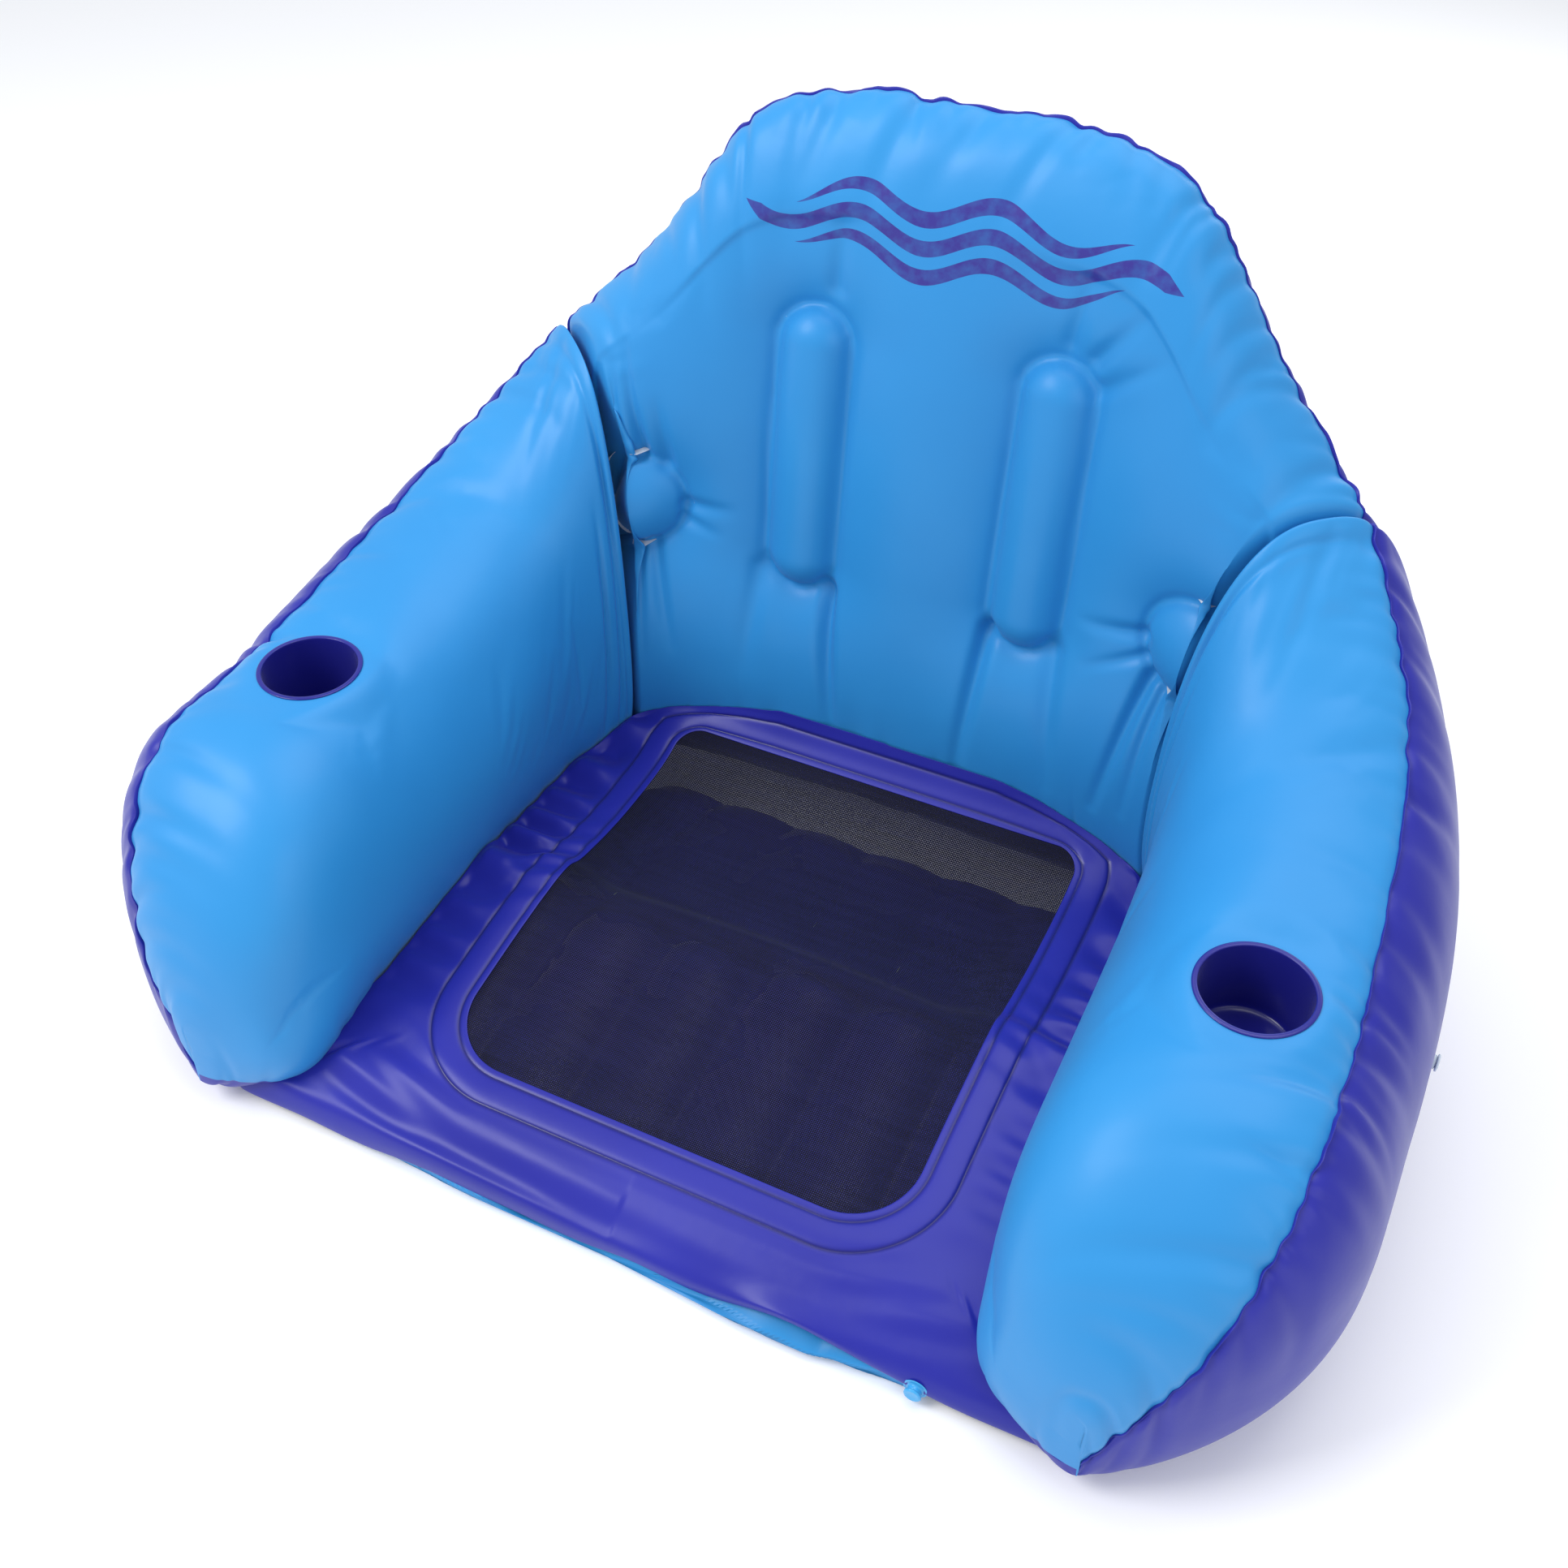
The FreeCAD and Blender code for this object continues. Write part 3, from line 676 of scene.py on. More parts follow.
@dataclass
class Chamber:
    """An air chamber: one closed shell of a light and a dark film, with a weld fin along the rim."""

    name: str
    seed: int
    rows: int
    light_steps: int
    dark_steps: int
    growth: float = 0.022
    pressure: float = 4.0
    frames: int = 20
    cap: float = 0.012
    fin: float = 0.0030
    scallop: float = 0.023
    scallop_depth: float = 0.0034
    pinch: float = 0.0
    valve: str = ""
    valve_held: float = 0.030
    valve_free: float = 0.090
    rim_groove: float = 0.0022
    rim_groove_width: float = 0.006

    def cut_row(self, place: float) -> tuple[np.ndarray, float]:
        """The section's numbers and its inset at a place from 0 to 1 along the chamber."""
        raise NotImplementedError

    def base(self) -> np.ndarray:
        """The shell's smooth points, by place along and place round from the foot weld."""
        rings = []
        for place in np.linspace(0.0, 1.0, self.rows + 1):
            cut, inset = self.cut_row(place)
            rim = cut[5]
            light = even_run(cut, FOOT_ANGLE, rim, self.light_steps, inset, self.pinch)
            dark = even_run(cut, rim, FOOT_ANGLE - 2.0 * math.pi, self.dark_steps, inset, self.pinch)
            rings.append(np.concatenate([light, dark[1:]]))
        return np.array(rings)

    def form(self, points: np.ndarray, round_: np.ndarray) -> np.ndarray:
        """Height of the welds' dimples above the smooth shell, before it is blown up.

        Args:
            points: the smooth points.
            round_: distance round from the foot weld.

        Returns:
            One height per point.
        """
        return np.zeros(points.shape[:2])

    def relief(self, points: np.ndarray, along: np.ndarray, round_: np.ndarray) -> np.ndarray:
        """Height of the creases above the blown-up shell.

        Args:
            points: the smooth points.
            along: distance along the rim.
            round_: distance round from the foot weld.

        Returns:
            One height per point.
        """
        rim = self.light_steps
        to_rim = np.abs(round_ - round_[:, rim:rim + 1])
        to_foot = np.minimum(round_, round_[:, -1:] - round_)
        length = float(along.max())
        height = -Puckers(self.seed, length).depth_at(along, to_rim)
        side = np.arange(points.shape[1])[None, :] <= rim
        extra = Puckers(self.seed + 1, length, (0.03, 0.08), (0.0020, 0.0052), (0.05, 0.12),
                        (0.005, 0.011), 0.5)
        height -= np.where(side, extra.depth_at(along, to_rim), 0.0)
        below = Puckers(self.seed + 3, length, (0.025, 0.06), (0.0015, 0.0055), (0.04, 0.10),
                        (0.005, 0.010), 0.2)
        height -= np.where(side, 0.0, below.depth_at(along, to_rim))
        foot = Puckers(self.seed + 2, length, (0.02, 0.06), (0.0005, 0.003), (0.02, 0.05), (0.004, 0.008))
        height -= foot.depth_at(along, to_foot)
        return height - self.rim_groove * np.exp(-((to_rim / self.rim_groove_width) ** 2))

    def pins(self, shape: np.ndarray) -> np.ndarray:
        """How firmly each point is held while the shell is blown up, from 0 to 1."""
        held = np.zeros(shape)
        held[:, 0] = held[:, -1] = held[:, self.light_steps] = 1.0
        held[0] = held[-1] = 1.0
        return held

    def shell(self) -> bpy.types.Object:
        """Build the closed shell, blow it up and return it."""
        points = self.base()
        rim = self.light_steps
        along = np.repeat(step_sum(points, 0)[:, rim:rim + 1], points.shape[1], axis=1)
        round_ = step_sum(points, 1)
        to_seam = round_ - round_[:, rim:rim + 1]
        relief = self.relief(points, along, round_)
        slide = self.wander(points, along, to_seam)
        relief[:, -1] = relief[:, 0]
        slide[:, -1] = slide[:, 0]
        points = points - grid_normals(points, True) * self.inward * self.form(points, round_)[..., None]
        points[:, -1] = points[:, 0]
        held = np.maximum(self.pins(points.shape[:2]), self.valve_hold(points))
        slack = self.slack(points.shape[:2], to_seam)
        shape = warped_grid(points)
        across = shape.verts.layers.int["across"]
        along_layer = shape.verts.layers.int["along"]
        for face in shape.faces:
            middle = sum(vert[across] for vert in face.verts) / len(face.verts)
            face.material_index = Panel.LIGHT.value if middle < rim else Panel.DARK.value
        bmesh.ops.remove_doubles(shape, verts=shape.verts, dist=1e-7)
        self.fill_ends(shape)
        shape.verts.ensure_lookup_table()
        order = [(vert[along_layer], vert[across]) for vert in shape.verts]
        bmesh.ops.recalc_face_normals(shape, faces=shape.faces)
        made = finish_mesh(shape, self.name + "_shell")
        for key, values in (("held", held), ("slack", slack)):
            group = made.vertex_groups.new(name=key)
            for index, spot in enumerate(order):
                group.add([index], float(values[spot]), "REPLACE")
        self.blow_up(made)
        self.crease(made, relief, slide)
        return made

    def valve_hold(self, points: np.ndarray) -> np.ndarray:
        """How firmly the film is held round the chamber's air valve."""
        if not self.valve:
            return np.zeros(points.shape[:2])
        low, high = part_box(self.valve)
        away = np.linalg.norm(points - (np.array(low) + np.array(high)) / 2.0, axis=-1)
        return 1.0 - smoothstep(away, self.valve_held, self.valve_free)

    def slack(self, shape: tuple[int, int], to_seam: np.ndarray) -> np.ndarray:
        """How much spare film there is at each point, as a share of the growth."""
        return 0.35 + 0.65 * np.exp(-((to_seam / 0.05) ** 2))

    def crease(self, made: bpy.types.Object, relief: np.ndarray, slide: np.ndarray) -> None:
        """Press the creases into the blown-up shell.

        Args:
            made: the shell.
            relief: height along the film's normal, by place along and round.
            slide: a further move, by place along and round.
        """
        count = len(made.data.vertices)
        places = np.empty((2, count), dtype=int)
        made.data.attributes["along"].data.foreach_get("value", places[0])
        made.data.attributes["across"].data.foreach_get("value", places[1])
        spots, normals = np.empty(count * 3), np.empty(count * 3)
        made.data.vertices.foreach_get("co", spots)
        made.data.vertices.foreach_get("normal", normals)
        key = (places[0], places[1])
        moved = spots.reshape(-1, 3) + normals.reshape(-1, 3) * relief[key][:, None] + slide[key]
        made.data.vertices.foreach_set("co", moved.ravel())
        made.data.update()

    def wander(self, points: np.ndarray, along: np.ndarray, to_seam: np.ndarray) -> np.ndarray:
        """Small sideways scallops of the rim weld.

        Args:
            points: the shell's points.
            along: distance along the rim.
            to_seam: signed distance round from the rim.

        Returns:
            One move per point.
        """
        across = np.gradient(points, axis=1)
        across /= np.maximum(np.linalg.norm(across, axis=2, keepdims=True), 1e-9)
        phase = along * 2.0 * math.pi / self.scallop + 1.3 * np.sin(along * 17.0 + self.seed)
        swing = self.scallop_depth * (0.6 + 0.4 * np.sin(along * 9.0)) * (np.abs(np.sin(phase / 2.0)) - 0.6)
        return across * (swing * np.exp(-((to_seam / 0.012) ** 2)))[..., None]

    def fill_ends(self, shape: bmesh.types.BMesh) -> None:
        """Close both ends of the shell with faces of the light film."""
        open_edges = [edge for edge in shape.edges if edge.is_boundary]
        filled = bmesh.ops.holes_fill(shape, edges=open_edges, sides=0)
        for face in filled["faces"]:
            face.material_index = Panel.LIGHT.value

    @property
    def inward(self) -> float:
        """Sign that turns the grid's normals inwards."""
        return 1.0

    def blow_up(self, made: bpy.types.Object) -> None:
        """Let pressed air push the film out, as a cloth simulation, and keep its result.

        Args:
            made: the shell, whose mesh is changed.
        """
        start = np.empty(len(made.data.vertices) * 3)
        made.data.vertices.foreach_get("co", start)
        cloth = made.modifiers.new("air", "CLOTH")
        settings = cloth.settings
        settings.quality = 4
        settings.mass = 0.25
        settings.tension_stiffness = settings.compression_stiffness = 30.0
        settings.shear_stiffness = 12.0
        settings.bending_stiffness = 0.6
        settings.tension_damping = settings.compression_damping = 8.0
        settings.air_damping = 2.0
        settings.use_pressure = True
        settings.uniform_pressure_force = self.pressure
        settings.vertex_group_mass = "held"
        settings.vertex_group_shrink = "slack"
        settings.shrink_min = 0.0
        settings.shrink_max = -self.growth
        settings.effector_weights.gravity = 0.0
        cloth.collision_settings.use_collision = False
        scene = bpy.context.scene
        for step in range(1, self.frames + 1):
            scene.frame_set(step)
        blown = made.evaluated_get(bpy.context.evaluated_depsgraph_get())
        end = np.empty_like(start)
        blown.data.vertices.foreach_get("co", end)
        move = (end - start).reshape(-1, 3)
        far = np.linalg.norm(move, axis=1, keepdims=True)
        LOG.info("%s moved up to %.1f mm", made.name, far.max() / MM)
        move *= np.minimum(1.0, self.cap / np.maximum(far, 1e-9))
        made.modifiers.remove(cloth)
        made.data.vertices.foreach_set("co", start + move.ravel())
        scene.frame_set(1)

    def split(self, made: bpy.types.Object, panel: Panel, name: str) -> bpy.types.Object:
        """Copy one film out of the shell.

        Args:
            made: the blown-up shell.
            panel: which film.
            name: the new piece's name.

        Returns:
            The film as its own object.
        """
        shape = bmesh.new()
        shape.from_mesh(made.data)
        others = [face for face in shape.faces if face.material_index != panel.value]
        bmesh.ops.delete(shape, geom=others, context="FACES")
        for face in shape.faces:
            face.material_index = 0
        piece = finish_mesh(shape, name)
        subdivide(piece)
        return piece

    def rim_fin(self, made: bpy.types.Object, name: str) -> bpy.types.Object:
        """Build the narrow welded fin that stands along the rim.

        Args:
            made: the blown-up shell.
            name: the fin's name.

        Returns:
            The fin.
        """
        source = bmesh.new()
        source.from_mesh(made.data)
        source.normal_update()
        between = [edge for edge in source.edges
                   if len(edge.link_faces) == 2 and edge.link_faces[0].material_index != edge.link_faces[1].material_index]
        across = source.verts.layers.int["across"]
        between = [edge for edge in between if all(vert[across] == self.light_steps for vert in edge.verts)]
        along = source.verts.layers.int["along"]
        verts = {vert[along]: vert for edge in between for vert in edge.verts}
        keys = sorted(verts)
        draw = np.random.default_rng(self.seed + 5)
        knots = np.arange(0, len(keys) + 4, 4)
        wave = np.interp(np.arange(len(keys)), knots, draw.uniform(0.25, 1.35, len(knots)))
        spots = np.array([verts[key].co for key in keys])
        normals = np.array([verts[key].normal for key in keys])
        inner = spots - 0.001 * normals
        outer = spots + self.fin * wave[:, None] * normals
        middle = (inner + outer) / 2.0
        source.free()
        shape = warped_grid(np.stack([inner, middle, outer], axis=1))
        piece = finish_mesh(shape, name)
        solid = piece.modifiers.new("film", "SOLIDIFY")
        solid.thickness = 0.0009
        solid.offset = 0.0
        subdivide(piece)
        return piece


@dataclass
class Arm(Chamber):
    """An arm: a blunt nose that closes in an upright weld, a broad flat top with a drink holder."""

    side: float = 1.0
    width: float = 0.258
    height: float = 0.309
    tip_from_seat: float = 0.108
    tip_height: float = 0.070
    tip_lift: float = 0.026
    tip_round: float = 0.180
    nose_share: float = 0.40
    end_round: float = 0.009
    cup_from_seat: float = 0.123
    cup_place: float = 0.260
    hole: float = 0.0446
    folds: tuple = ((0.016, 0.030, 0.0050, 0.0050, 0.62), (0.040, 0.055, 0.0045, 0.0055, 0.45),
                    (0.062, 0.020, 0.0030, 0.0045, 0.35), (0.030, -0.010, 0.0030, 0.0040, 0.85))

    def nose(self, turn: float) -> Cut:
        """Cut of the nose, where turn goes from 0 at the tip to a quarter turn at full size."""
        share = 1.0 - math.cos(turn)
        fullness = math.sin(turn)
        tip_x = SEAT_HALF + self.tip_from_seat
        inner = blend(tip_x, SEAT_HALF, math.sqrt(max(0.0, 1.0 - (1.0 - share) ** 4)))
        outer = blend(tip_x + 0.002, SEAT_HALF + self.width, fullness ** 1.4)
        height = blend(self.tip_height, self.height, fullness ** 1.15)
        seam = blend(NOSE_SEAM, ARM_SEAM, fullness ** 0.75)
        return Cut(inner, TIP + 0.004 + share * self.tip_round, 0.0, outer - inner, height, seam,
                   lift=self.tip_lift * (1.0 - fullness))

    def body_rows(self) -> np.ndarray:
        """Cuts from the end of the nose to the corner."""
        full = self.nose(math.pi / 2.0)
        corner = corner_cut()
        valve_y = TIP + 0.385
        bend_y = blend(valve_y, BACK_FOOT, 0.58)
        cuts = [full,
                Cut(SEAT_HALF, TIP + self.cup_place, 0.0, self.width, self.height, ARM_SEAM),
                Cut(SEAT_HALF, valve_y, 0.0, self.width, blend(self.height, corner.height, 0.12),
                    seam_at(0.74)),
                Cut(SEAT_HALF - 0.010, bend_y, math.radians(16.0), blend(self.width, corner.width, 0.3),
                    blend(self.height, corner.height, 0.42), seam_at(0.75), 0.4 * corner.lean,
                    0.4 * corner.taper),
                corner.shifted(-0.0010)]
        return np.array([cut.row() for cut in cuts])

    def cut_row(self, place: float) -> tuple[np.ndarray, float]:
        """The section's numbers and its inset at a place from 0 to 1 along the arm."""
        if place < self.nose_share:
            return self.nose(place / self.nose_share * math.pi / 2.0).row(), 0.0
        rows = self.body_rows()
        share = (place - self.nose_share) / (1.0 - self.nose_share)
        steps = np.array([0.0, 0.16, 0.42, 0.68, 1.0])
        cut = smooth_row(rows, float(np.interp(share, steps, np.arange(len(steps)))))
        left = (1.0 - share) * 0.46
        return cut, end_inset(left, self.end_round)

    def base(self) -> np.ndarray:
        """The arm's smooth points, flat round the drink holder."""
        points = super().base()
        centre = np.array([SEAT_HALF + self.cup_from_seat, TIP + self.cup_place])
        away = np.linalg.norm(points[..., :2] - centre, axis=2)
        top = points[..., 2] > 0.6 * self.height
        share = np.where(top, 1.0 - smoothstep(away, 0.047, 0.078), 0.0)
        points[..., 2] += share * (self.height + 0.0005 - points[..., 2])
        ring = top & (np.abs(away - self.hole) < 0.0026)
        scale = np.where(ring, self.hole / np.maximum(away, 1e-6), 1.0)[..., None]
        points[..., :2] = centre + (points[..., :2] - centre) * scale
        if self.side < 0:
            points[..., 0] *= -1.0
        return points

    @property
    def inward(self) -> float:
        """Sign that turns the grid's normals inwards."""
        return self.side

    def cup_distance(self, points: np.ndarray) -> np.ndarray:
        """Distance of each point from the drink holder's axis, far for points below the top."""
        centre = np.array([self.side * (SEAT_HALF + self.cup_from_seat), TIP + self.cup_place])
        away = np.linalg.norm(points[..., :2] - centre, axis=2)
        return np.where(points[..., 2] > 0.6 * self.height, away, 1.0)

    def form(self, points: np.ndarray, round_: np.ndarray) -> np.ndarray:
        """The nose's inner side swells over the seat's front corner."""
        depth, level = points[..., 1] - TIP, points[..., 2]
        across = np.abs(points[..., 0]) - SEAT_HALF
        inner = 1.0 - smoothstep(across, 0.02, 0.075)
        return 0.014 * inner * np.exp(-(((depth - 0.045) / 0.055) ** 2) - (((level - 0.055) / 0.055) ** 2))

    def relief(self, points: np.ndarray, along: np.ndarray, round_: np.ndarray) -> np.ndarray:
        """Creases of the arm, with folds that run into the corner, kept clear of the drink holder."""
        height = super().relief(points, along, round_)
        to_end = along.max() - along
        rim = self.light_steps
        share = round_ / round_[:, rim:rim + 1]
        for start, slope, deep, width, reach in self.folds:
            off = to_end - start - slope * (1.0 - share)
            fade = smoothstep(share, 0.02, 0.12) * (1.0 - smoothstep(share, reach, reach + 0.18))
            height -= deep * fade * np.exp(-((off / width) ** 2)) * (share <= 1.0)
        self.near_cup = self.cup_distance(points)
        return height * smoothstep(self.near_cup, 0.046, 0.070)

    def pins(self, shape: np.ndarray) -> np.ndarray:
        """Hold the welds, the ends and the drink holder's ring."""
        held = super().pins(shape)
        return np.maximum(held, 1.0 - smoothstep(self.near_cup, 0.047, 0.062))

    def shell(self) -> bpy.types.Object:
        """Build the shell and open the hole of the drink holder."""
        made = super().shell()
        shape = bmesh.new()
        shape.from_mesh(made.data)
        centre = Vector((self.side * (SEAT_HALF + self.cup_from_seat), TIP + self.cup_place))
        inside = [face for face in shape.faces
                  if (face.calc_center_median().xy - centre).length < self.hole - 0.0006
                  and face.calc_center_median().z > 0.6 * self.height]
        bmesh.ops.delete(shape, geom=inside, context="FACES")
        shape.to_mesh(made.data)
        shape.free()
        return made


def corner_cut() -> Cut:
    """The cut where an arm meets the backrest."""
    return Cut(SEAT_HALF - CORNER_IN, BACK_FOOT - 0.008, math.radians(40.0), 0.292, 0.488, CORNER_SEAM,
               0.05, 0.34)


def end_inset(left: float, radius: float) -> float:
    """Inset that rounds a chamber's end, where left is the distance to the end."""
    if left >= radius:
        return 0.0
    return radius - math.sqrt(max(0.0, radius ** 2 - (radius - left) ** 2))


@dataclass
class Backrest(Chamber):
    """The backrest, with two long and two round welds tied to its rear film."""

    thickness: float = 0.250
    height: float = 0.726
    lean: float = 0.13
    taper: float = 0.5
    end_round: float = 0.026
    pinch: float = 0.5
    tie_x: float = 0.113
    tie_low: float = 0.313
    tie_high: float = 0.522
    tie_radius: float = 0.035
    round_x: float = 0.272
    round_z: float = 0.345
    round_radius: float = 0.049
    long_depth: float = 0.026
    round_depth: float = 0.022
    valley: float = 0.038
    pad_share: float = 0.80
    pad_power: float = 2.4
    crease_share: float = 1.3
    folds: tuple = (
        ((-0.081, 0.285), (-0.062, 0.115), 0.012, 0.0065), ((0.083, 0.290), (0.070, 0.115), 0.010, 0.0065),
        ((-0.150, 0.290), (-0.160, 0.180), 0.004, 0.010), ((0.146, 0.290), (0.165, 0.150), 0.005, 0.009),
        ((-0.250, 0.300), (-0.235, 0.190), 0.005, 0.006), ((-0.262, 0.298), (-0.262, 0.170), 0.004, 0.005),
        ((0.238, 0.305), (0.215, 0.150), 0.008, 0.006), ((0.250, 0.298), (0.245, 0.160), 0.005, 0.005),
        ((-0.286, 0.392), (-0.300, 0.480), 0.005, 0.005), ((-0.262, 0.396), (-0.290, 0.500), 0.006, 0.005),
        ((-0.300, 0.384), (-0.318, 0.450), 0.004, 0.004), ((-0.240, 0.388), (-0.252, 0.450), 0.004, 0.006),
        ((-0.095, 0.575), (-0.090, 0.650), 0.004, 0.008), ((0.118, 0.570), (0.135, 0.650), 0.004, 0.007),
        ((0.140, 0.562), (0.190, 0.620), 0.005, 0.006), ((0.150, 0.540), (0.205, 0.580), 0.004, 0.006),
        ((0.228, 0.340), (0.170, 0.330), 0.005, 0.006), ((0.232, 0.322), (0.180, 0.290), 0.004, 0.005),
        ((-0.222, 0.345), (-0.180, 0.345), 0.004, 0.006), ((-0.224, 0.330), (-0.190, 0.318), 0.003, 0.005))

    def cut_row(self, place: float) -> tuple[np.ndarray, float]:
        """The section's numbers and its inset at a place from 0 to 1 along the backrest."""
        corner = corner_cut()
        half = [corner.shifted(0.0010)]
        for across, turn, grown in ((0.72, 58.0, 0.34), (0.50, 72.0, 0.86), (0.25, 82.0, 1.0)):
            half.append(Cut(across * SEAT_HALF, BACK_FOOT, math.radians(turn),
                            blend(corner.width, self.thickness, grown),
                            blend(corner.height, self.height, grown),
                            blend(corner.seam, BACK_SEAM, grown), blend(corner.lean, self.lean, grown),
                            blend(corner.taper, self.taper, grown)))
        middle = Cut(0.0, BACK_FOOT, math.pi / 2.0, self.thickness, self.height, BACK_SEAM, self.lean,
                     self.taper)
        rows = np.array([cut.row() for cut in half + [middle] + [cut.mirrored() for cut in reversed(half)]])
        steps = np.array([0.0, 0.14, 0.30, 0.40, 0.50, 0.60, 0.70, 0.86, 1.0])
        cut = smooth_row(rows, float(np.interp(place, steps, np.arange(len(steps)))))
        left = min(place, 1.0 - place) * 1.25
        return cut, end_inset(left, self.end_round)

    def weld_distances(self, points: np.ndarray) -> list[tuple[np.ndarray, float, float]]:
        """Signed distance outside each weld's line, with the weld's radius and how deep it lies."""
        found = []
        for side in (-1.0, 1.0):
            level = np.clip(points[..., 2], self.tie_low, self.tie_high)
            middle = np.hypot(points[..., 0] - side * self.tie_x, points[..., 2] - level)
            found.append((middle - self.tie_radius, self.tie_radius, self.long_depth))
            middle = np.hypot(points[..., 0] - side * self.round_x, points[..., 2] - self.round_z)
            found.append((middle - self.round_radius, self.round_radius, self.round_depth))
        return found

    def creases(self, points: np.ndarray) -> np.ndarray:
        """Depth of the long soft creases that run off the welds' ends."""
        depth = np.zeros(points.shape[:2])
        x, z = points[..., 0], points[..., 2]
        for start, end, deep, width in self.folds:
            run = np.subtract(end, start)
            share = ((x - start[0]) * run[0] + (z - start[1]) * run[1]) / float(run @ run)
            off = np.hypot(x - start[0] - np.clip(share, 0.0, 1.0) * run[0],
                           z - start[1] - np.clip(share, 0.0, 1.0) * run[1])
            fade = np.clip(1.15 - np.clip(share, 0.0, 1.0), 0.0, 1.0)
            depth += deep * fade * np.exp(-((off / width) ** 2))
        return depth

    def front_side(self, points: np.ndarray, round_: np.ndarray) -> np.ndarray:
        """One on the part of the front film that faces the sitter, else zero."""
        rim = self.light_steps
        front = np.arange(points.shape[1])[None, :] <= rim
        return (front & (round_ < 0.82 * round_[:, rim:rim + 1])).astype(float)

    def form(self, points: np.ndarray, round_: np.ndarray) -> np.ndarray:
        """Dimples of the welds, each with a soft pad inside."""
        front = self.front_side(points, round_)
        height = np.zeros(points.shape[:2])
        self.pad = np.zeros(points.shape[:2])
        for gap, radius, deep in self.weld_distances(points):
            outside = np.exp(-np.maximum(gap, 0.0) / self.valley) * (gap >= 0.0)
            near_line = np.clip(1.0 + gap / radius, 0.0, 1.0) ** self.pad_power
            inside = (gap < 0.0) * (1.0 - self.pad_share * (1.0 - near_line))
            height -= front * deep * (outside + inside)
            self.pad = np.maximum(self.pad, front * (1.0 - smoothstep(gap, 0.012, 0.100)))
        return height

    def relief(self, points: np.ndarray, along: np.ndarray, round_: np.ndarray) -> np.ndarray:
        """Creases of the backrest, with a crisp line at each weld."""
        height = super().relief(points, along, round_)
        height -= self.crease_share * self.front_side(points, round_) * self.creases(points)
        for gap, _, _ in self.weld_distances(points):
            height -= self.front_side(points, round_) * 0.0028 * np.exp(-((gap / 0.0040) ** 2))
        return height

    def slack(self, shape: tuple[int, int], to_seam: np.ndarray) -> np.ndarray:
        """Spare film, with none on the pads."""
        return super().slack(shape, to_seam) * (1.0 - self.pad)

    def pins(self, shape: np.ndarray) -> np.ndarray:
        """Hold the line of every weld."""
        return np.maximum(super().pins(shape), self.pad)


# ---------------------------------------------------------------- seat


